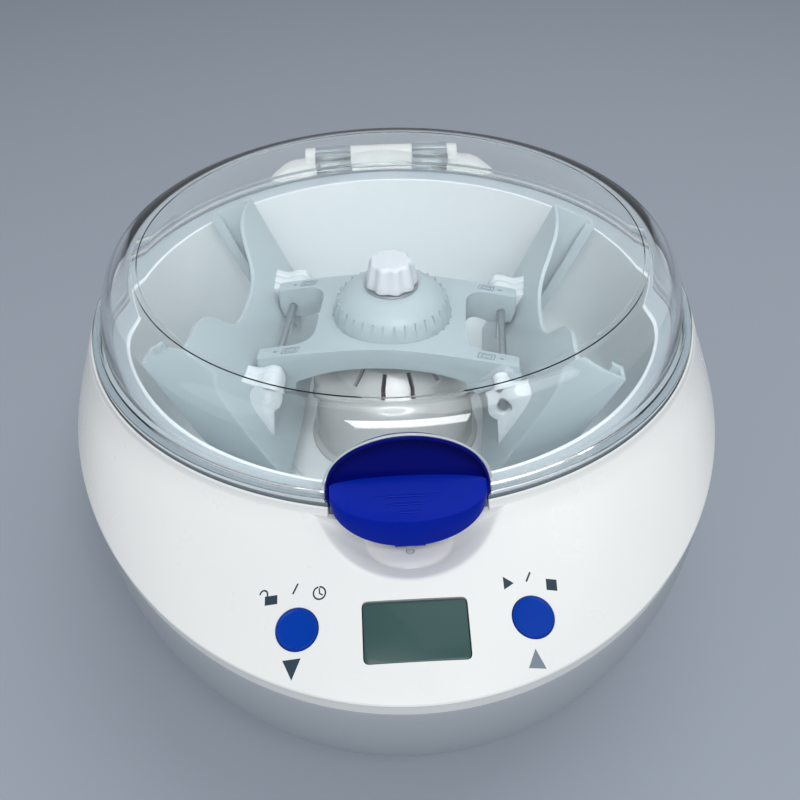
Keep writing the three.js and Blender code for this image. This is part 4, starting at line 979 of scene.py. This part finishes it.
# %% Ribs on the grip
sizes = {"Count": "NodeSocketInt", "First": "NodeSocketVector", "Step": "NodeSocketVector",
         "Half length": "NodeSocketFloat", "Shrink": "NodeSocketFloat", "Thickness": "NodeSocketFloat"}
tree, given = node_tree("grip ribs", sizes)
line = add(tree, "GeometryNodeMeshLine", links={"Count": given["Count"], "Start Location": given["First"],
                                                "Offset": given["Step"]})
bead = add(tree, "GeometryNodeMeshUVSphere", values={"Segments": 16, "Rings": 24, "Radius": 1.0})
laid = add(tree, "GeometryNodeTransform", values={"Rotation": (0, math.pi / 2, 0)},
           links={"Geometry": bead.outputs["Mesh"]})
rib_index = add(tree, "GeometryNodeInputIndex")
less = add(tree, "ShaderNodeMath", {"operation": "MULTIPLY"})
tree.links.new(rib_index.outputs[0], less.inputs[0])
tree.links.new(given["Shrink"], less.inputs[1])
length = add(tree, "ShaderNodeMath", {"operation": "SUBTRACT"})
tree.links.new(given["Half length"], length.inputs[0])
tree.links.new(less.outputs[0], length.inputs[1])
size = add(tree, "ShaderNodeCombineXYZ", links={"X": length.outputs[0], "Y": given["Thickness"],
                                                "Z": given["Thickness"]})
beads = add(tree, "GeometryNodeInstanceOnPoints", links={
    "Points": line.outputs[0], "Instance": laid.outputs[0], "Scale": size.outputs[0]})
both = add(tree, "GeometryNodeJoinGeometry", links={"Geometry": given["Geometry"]})
tree.links.new(beads.outputs[0], both.inputs[0])
tree_end(tree, both.outputs[0], latch_blue)
first = machine @ Vector((0, -138.4, 126.55))
grown(grip, tree, {"Count": 3, "First": tuple(first), "Step": (0, -0.003, -0.00102),
                   "Half length": 0.013, "Shrink": 0.0038, "Thickness": 0.0006})
dress(grip, "latch", latch_blue, "latch_grip", "latch_lever", angle=40)

# %% [markdown]
# ## The rotor
#
# A yoke carries two rods in C-shaped cut-outs, and on the rods hang the plate carriers. The yoke
# is the overlap of its side view and its plan, as it would be if it were milled from two sides.
# The domed hub is turned, and a ring of fine ribs runs round its lower edge.

# %% Yoke
def yoke_top(x, y=0):
    return 111.2 - 7.9 * (abs(x) / 61.8) ** 1.6


arch = [(k, 100.2 - 9 * (k / 42) ** 2.3) for k in range(46, 0, -2)]
top_side = [(2 * k, yoke_top(2 * k)) for k in range(31)]
tip = [(60, 103.7), (61.8, yoke_top(61.8), 0.8), (61.8, 94.2), (59.84, 88, 0.8), (47.9, 88), (46, 89)]
side_view = top_side + rounded(tip, closed=False)[1:-1] + arch
side_view += [(-x, z) for x, z in reversed(side_view)][:-1]
yoke = pushed("rotor_yoke_moulding", side_view, -33.3, 33.3, "Y", rotor)
NOTCH, ARM = 36.0, 25.0
plan = [(62.7, -33, 3), (62.7, -ARM, 3), (NOTCH, -ARM, 12), (NOTCH, ARM, 12), (62.7, ARM, 3), (62.7, 33, 3)]
plan = rounded(plan + [(-x, -y, r) for x, y, r in plan], steps=10)
keep(yoke, pushed("plan", plan, 60, 130, "Z", rotor))
join(yoke, pushed("boss", circle(11.5, 64), 98, 102, "Z", rotor))
cut(yoke, pushed("shaft way", circle(SHAFT_WAY, 40), 60, 130, "Z", rotor))
for x in (-ROD_X, ROD_X):
    cut(yoke, pushed("rod way", circle(PIN_BORE, 32, x, ROD_Z), -60, 60, "Y", rotor))
softened(yoke, 0.7, angle=40, segments=3)
dress(yoke, "rotor", rotor_nylon, "rotor", "rotor_yoke", angle=32)

# %% Hub, washer and rods
hub_line = [(SHAFT_WAY, 107), (28.5, 107), (28.5, 111)]
hub_line += bend((28.5, 111), (26.5, 123.6), (12.5, 125.4), 18)[1:]
hub = turned("hub_moulding", hub_line + [(SHAFT_WAY, 125.4)], 180, rotor)
rib_tree = ring_of_bars("hub ribs", rotor_nylon, "UNION")
centre = rotor @ Vector((0, 0, 113.0))
grown(hub, rib_tree, {"Count": 32, "Radius": 0.0272, "Bar": (0.002, 0.0008, 0.0125),
                      "Centre": tuple(centre), "Lean": -0.25, "Turn": 0.0})
below = [(x, z + 0.1) for x, z in side_view if z > 100.5] + [(62, 90), (-62, 90)]
cut(hub, pushed("yoke below", below, -40, 40, "Y", rotor))
dress(hub, "rotor", rotor_nylon, "rotor", "hub_dome", angle=32)
washer_line = [(SHAFT_WAY, 125.6), (13, 125.6, 0.25), (13, 126.35, 0.25), (SHAFT_WAY, 126.35)]
dress(turned("washer_plate", rounded(washer_line), 96, rotor), "rotor", steel, "steel", "knob_washer")
for side, x in (("left", -ROD_X), ("right", ROD_X)):
    rod = pushed("rod_" + side, circle(2, 48, x, ROD_Z), -48.6, 48.6, "Y", rotor)
    dress(softened(rod, 0.5), "rotor", steel, "steel", "swing_rod_" + side)

# %% [markdown]
# The knob is a shape that follows a rule: a turned outline whose radius swells and shrinks nine
# times round. A grid is bent round the axis by a node tree, with two curves for its outline.

# %% Fluted knob
sizes = {"Radius": "NodeSocketFloat", "Height": "NodeSocketFloat", "Lobes": "NodeSocketFloat",
         "Lobe": "NodeSocketFloat", "Centre": "NodeSocketVector"}
tree, given = node_tree("fluted knob", sizes)
grid = add(tree, "GeometryNodeMeshGrid", values={"Size X": 1.0, "Size Y": 1.0, "Vertices X": 61,
                                                 "Vertices Y": 181})
spot = add(tree, "GeometryNodeInputPosition")
apart = add(tree, "ShaderNodeSeparateXYZ", links={"Vector": spot.outputs[0]})


def number(operation, *terms):
    """One step of the sum that bends the grid: each term is a number or another step."""
    made = add(tree, "ShaderNodeMath", {"operation": operation})
    for i, term in enumerate(terms):
        if isinstance(term, (int, float)):
            made.inputs[i].default_value = term
        else:
            tree.links.new(term, made.inputs[i])
    return made.outputs[0]


def outline_curve(share, points):
    made = add(tree, "ShaderNodeFloatCurve", links={"Value": share})
    line = made.mapping.curves[0]
    for at, value in points[1:-1]:
        line.points.new(at, value)
    line.points[0].location, line.points[-1].location = points[0], points[-1]
    for point in line.points:
        point.handle_type = "VECTOR"
    made.mapping.update()
    return made.outputs[0]


share = number("ADD", apart.outputs["X"], 0.5)
turn = number("MULTIPLY", number("ADD", apart.outputs["Y"], 0.5), 2 * math.pi)
knob_outline = [(0, 0, 0), (12.0, 0, 0.16), (12.4, 0.35, 0.22), (12.4, 2.6, 0.34), (11.4, 6.5, 0.5),
                (10.4, 10.9, 0.68), (9.9, 11.9, 0.74), (9.0, 12.45, 0.8), (7.6, 12.6, 0.86), (0, 12.6, 1)]
radius = outline_curve(share, [(at, r / 12.4) for r, _, at in knob_outline])
level = outline_curve(share, [(at, z / 12.6) for _, z, at in knob_outline])
swell = number("MULTIPLY", number("COSINE", number("MULTIPLY", turn, given["Lobes"])), given["Lobe"])
reach = number("ADD", number("MULTIPLY", radius, given["Radius"]), number("MULTIPLY", swell, radius))
bent = add(tree, "ShaderNodeCombineXYZ", links={
    "X": number("MULTIPLY", reach, number("COSINE", turn)),
    "Y": number("MULTIPLY", reach, number("SINE", turn)),
    "Z": number("MULTIPLY", level, given["Height"])})
shape = add(tree, "GeometryNodeSetPosition", links={"Geometry": grid.outputs["Mesh"],
                                                    "Position": bent.outputs[0]})
seam = add(tree, "GeometryNodeMergeByDistance", values={"Distance": 0.00001},
           links={"Geometry": shape.outputs[0]})
set_down = add(tree, "GeometryNodeTransform", links={"Geometry": seam.outputs[0],
                                                     "Translation": given["Centre"]})
tree_end(tree, set_down.outputs[0], knob_abs)
knob = part("knob_moulding", [(0, 0, 0)], [])
grown(knob, tree, {"Radius": 0.0119, "Height": 0.0126, "Lobes": 9.0, "Lobe": 0.0006,
                   "Centre": tuple(rotor @ Vector((0, 0, 126.7)))})
settle(knob)
dress(knob, "clamp_knob", knob_abs, "knob", "rotor_knob", angle=50)

# %% [markdown]
# ## Plate carriers
#
# Each carrier is a thin channel that holds a plate on edge: a back wall with a deep finger notch,
# two end walls with hooks, a bottom, and two lugs that hang on the rod. The lugs' tops are wavy
# and stepped in three tiers. All is built in the carrier's own upright frame about its rod.

# %% The notch follows a smooth curve through a few measured points
notch_half = [(54, 0), (46, 1.2), (39, 4), (34, 8.5), (30, 13.5), (25.5, 18.8), (19, 22.6), (10, 24.6)]
notch_points = [(-y, z) for y, z in notch_half] + [(0, 25)] + notch_half[::-1]


def smooth_through(points, steps):
    """A curve through all points, as a bent ruler would take it."""
    path = []
    last = len(points) - 1
    for k in range(steps + 1):
        at = k / steps * last
        i = min(int(at), last - 1)
        t = at - i
        p0, p1, p2, p3 = (Vector(points[min(max(j, 0), last)]) for j in (i - 1, i, i + 1, i + 2))
        v0, v1 = (p2 - p0) / 2, (p3 - p1) / 2
        path.append(tuple(p1 + v0 * t + (3 * (p2 - p1) - 2 * v0 - v1) * t * t
                          + (2 * (p1 - p2) + v0 + v1) * t ** 3))
    return path


# %% One carrier
BACK, FRONT, HALF, LOW, TOP, WALL = 8.3, 31.3, 67.0, -40.5, 47.5, 2.0


def channel(name, where):
    lip = HALF - 9
    edge = [(FRONT, HALF, 0.9), (FRONT, lip), (FRONT - 5, lip), (FRONT - 5, lip + WALL),
            (FRONT - WALL, lip + WALL), (FRONT - WALL, HALF - WALL), (BACK + WALL, HALF - WALL - 0.2, 0.8)]
    mirrored = [(x, -y, *r) for x, y, *r in edge]
    plan = rounded([(BACK, -HALF, 1.2), *mirrored, *reversed(edge), (BACK, HALF, 1.2)], steps=4)
    tray = pushed(name, plan, LOW, TOP, "Z", where)
    bottom = [(BACK, LOW), (FRONT, LOW), (FRONT, LOW + WALL - 0.2), (BACK, LOW + WALL)]
    join(tray, pushed("bottom", bottom, -HALF + 0.5, HALF - 0.5, "Y", where))
    notch = smooth_through([(y, TOP + RUN - z) for y, z in notch_points], 110)
    notch += [(54, 90), (-54, 90)]
    cut(tray, pushed("notch", notch, BACK - WALL, BACK + 2 * WALL, "X", where))
    return tray


def lug(from_y, to_y, scale, where):
    """One tier of a lug: a wavy top, a round nose on the rod and a gusset down the wall."""
    nosed, top = 7.0 * scale, 7.3 * scale
    wave = bend((BACK + 1, 12.5 * scale), (BACK / 2, nosed - 0.6), (0, top), 12)
    nose = bend((0, top), (-1.2 * nosed, nosed), (-nosed, 0), 14)[1:]
    chin = bend((-nosed, 0), (-nosed, -nosed), (0, -top), 14)[1:]
    outline = wave + nose + chin + [(BACK + 1, -24)]
    return pushed("lug", outline, min(from_y, to_y), max(from_y, to_y), "Y", where)


for side, where in swing.items():
    tray = channel("carrier_tray_" + side, where)
    softened(tray, 0.45, angle=40)
    for hand in (-1, 1):
        tiers = [lug(hand * (33.4 + 5.33 * k), hand * (33.4 + 5.33 * (k + 1) - 0.5 * (k < 2)), scale, where)
                 for k, scale in ((0, 0.86), (1, 0.94), (2, 1.0))]
        core = lug(hand * 34, hand * 49, 0.82, where)
        core.name = "lug_" + side + ("_front" if hand < 0 else "_rear")
        join(core, *tiers)
        holes = (("rod way", PIN_BORE, 32, 30, 55), ("mouth", 3.5, 40, 44.4, 52))
        for hole, radius, faces, near, far in holes:
            ends = sorted((hand * near, hand * far))
            cut(core, pushed(hole, circle(radius, faces), *ends, "Y", where))
        softened(core, 0.35, angle=40)
        cut(core, box("wall", (BACK + 1, -70, -50), (60, 70, 50), where))
        dress(core, "plate_carrier_" + side, lug_nylon_and_edge_highlight, "carrier", "carrier_" + side, angle=32)
    dress(tray, "plate_carrier_" + side, carrier_nylon, "carrier", "carrier_" + side, angle=32)

# %% [markdown]
# ## Signs on the rotor
#
# Four small outlines on the yoke show how a plate lies in its carrier. They are drawn here as a
# plain plate seen at an angle with a short arrow, as thin lines that follow the yoke's slope.

# %% Plate signs
def plate_sign(x, y, way):
    body = [(x - 4.2, y - 1.9), (x + 3.4, y - 1.9), (x + 4.4, y + 1.9), (x - 3.2, y + 1.9)]
    well = [(x - 2.6, y - 0.9), (x + 2.3, y - 0.9), (x + 2.9, y + 0.9), (x - 2.0, y + 0.9)]
    mark = [(x + way * 7.0, y - 0.8), (x + way * 8.4, y), (x + way * 7.0, y + 0.8)]
    lines = [stroke([a, b], 0.38) for line in (body, well) for a, b in zip(line, line[1:] + line[:1])]
    return lines + [mark, stroke([(x + way * 5.8, y), (x + way * 7.2, y)], 0.38)]


signs = [shape for x, y, way in ((-46, -29, -1), (-46, 29, -1), (46, -29, 1), (46, 29, 1))
         for shape in plate_sign(x, y, way)]
printed("plate_signs", signs, yoke_top, symbol_ink, "rotor", "dark_plastic", rotor)

# %% [markdown]
# ## Parts that keep their CAD shape
#
# The socket and the switch at the rear get softened edges. What is inside the housing keeps its
# CAD shape and only gets its finish.

# %% Rear socket and switch
def refined(name, node, width):
    """A copy of a CAD part with merged points and softened edges."""
    made = bpy.data.objects.new(name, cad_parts[node].data.copy())
    scene.collection.objects.link(made)
    return softened(settle(made), width)


rear_parts = {"power_jack": "housing", "switch_frame": "housing", "switch_rocker": "power_switch"}
for node, body in rear_parts.items():
    dress(refined(node + "_moulding", node, 0.3), body, black_abs, "dark_plastic", node)

# %% Inner parts
inner_finishes = {
    "motor_body": black_abs, "motor_plate": plate_steel, "display_module": black_abs,
    "control_board": board_green, "lock_solenoid": black_abs, "lock_plunger": lug_nylon_and_edge_highlight,
    "latch_strike": steel,
    "power_board": board_green, "latch_pin": steel, "motor_shaft": steel, "rotor_collar": steel,
    "shell_screw_left": steel, "shell_screw_right": steel,
}
for i in (1, 2, 3):
    inner_finishes[f"motor_mount_{i}"] = foot_rubber
    inner_finishes[f"motor_screw_{i}"] = steel
for node, finish in inner_finishes.items():
    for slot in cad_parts[node].material_slots:
        slot.material = finish
print(len(inner_finishes), "inner parts have their finish")

# %% [markdown]
# ## Floor and light
#
# The photograph was taken on pale grey-blue cloth under large soft lights. Here a plain pale floor
# and three large lamps give the same broad reflections. The room is a little brighter in gloss and
# in glass than it is as light, so the lid stays clear while the machine keeps its soft shadow.

# %% Floor
floor_finish, tree, where = started("pale floor")
matt = add(tree, "ShaderNodeBsdfDiffuse", values={"Color": colour("#a3abb5")})
ended(tree, matt.outputs["BSDF"])
corners = [(-4000, -3000, 0), (4000, -3000, 0), (4000, 6000, 0), (-4000, 6000, 0)]
floor = part("floor", corners, [(0, 1, 2, 3)])
floor.data.materials.append(floor_finish)

# %% Lamps and world
def lamp(name, spot, target, size, power):
    light = bpy.data.lights.new(name, "AREA")
    light.shape, light.size, light.size_y, light.energy = "RECTANGLE", size[0], size[1], power
    made = bpy.data.objects.new(name, light)
    scene.collection.objects.link(made)
    made.location = spot
    made.rotation_euler = (Vector(target) - Vector(spot)).to_track_quat("-Z", "Y").to_euler()
    return made


lamp("over", (0.35, 0.25, 1.5), (0, 0, 0.1), (1.3, 1.0), 6)
lamp("left window", (-1.3, -0.5, 1.0), (0, 0, 0.1), (0.8, 1.0), 1)
lamp("front above", (0.1, -1.25, 1.6), (0, 0, 0.1), (1.2, 0.7), 21)
world = bpy.data.worlds.new("room")
scene.world = world
world.use_nodes = True
tree = world.node_tree
tree.nodes.clear()
ray = add(tree, "ShaderNodeLightPath")
mirrored = add(tree, "ShaderNodeMath", {"operation": "MAXIMUM"})
tree.links.new(ray.outputs["Is Glossy Ray"], mirrored.inputs[0])
tree.links.new(ray.outputs["Is Transmission Ray"], mirrored.inputs[1])
strength = add(tree, "ShaderNodeMapRange", values={"To Min": 0.4, "To Max": 0.75},
               links={"Value": mirrored.outputs[0]})
sky = add(tree, "ShaderNodeBackground", values={"Color": colour("#d7dee6")},
          links={"Strength": strength.outputs["Result"]})
add(tree, "ShaderNodeOutputWorld", links={"Surface": sky.outputs[0]})
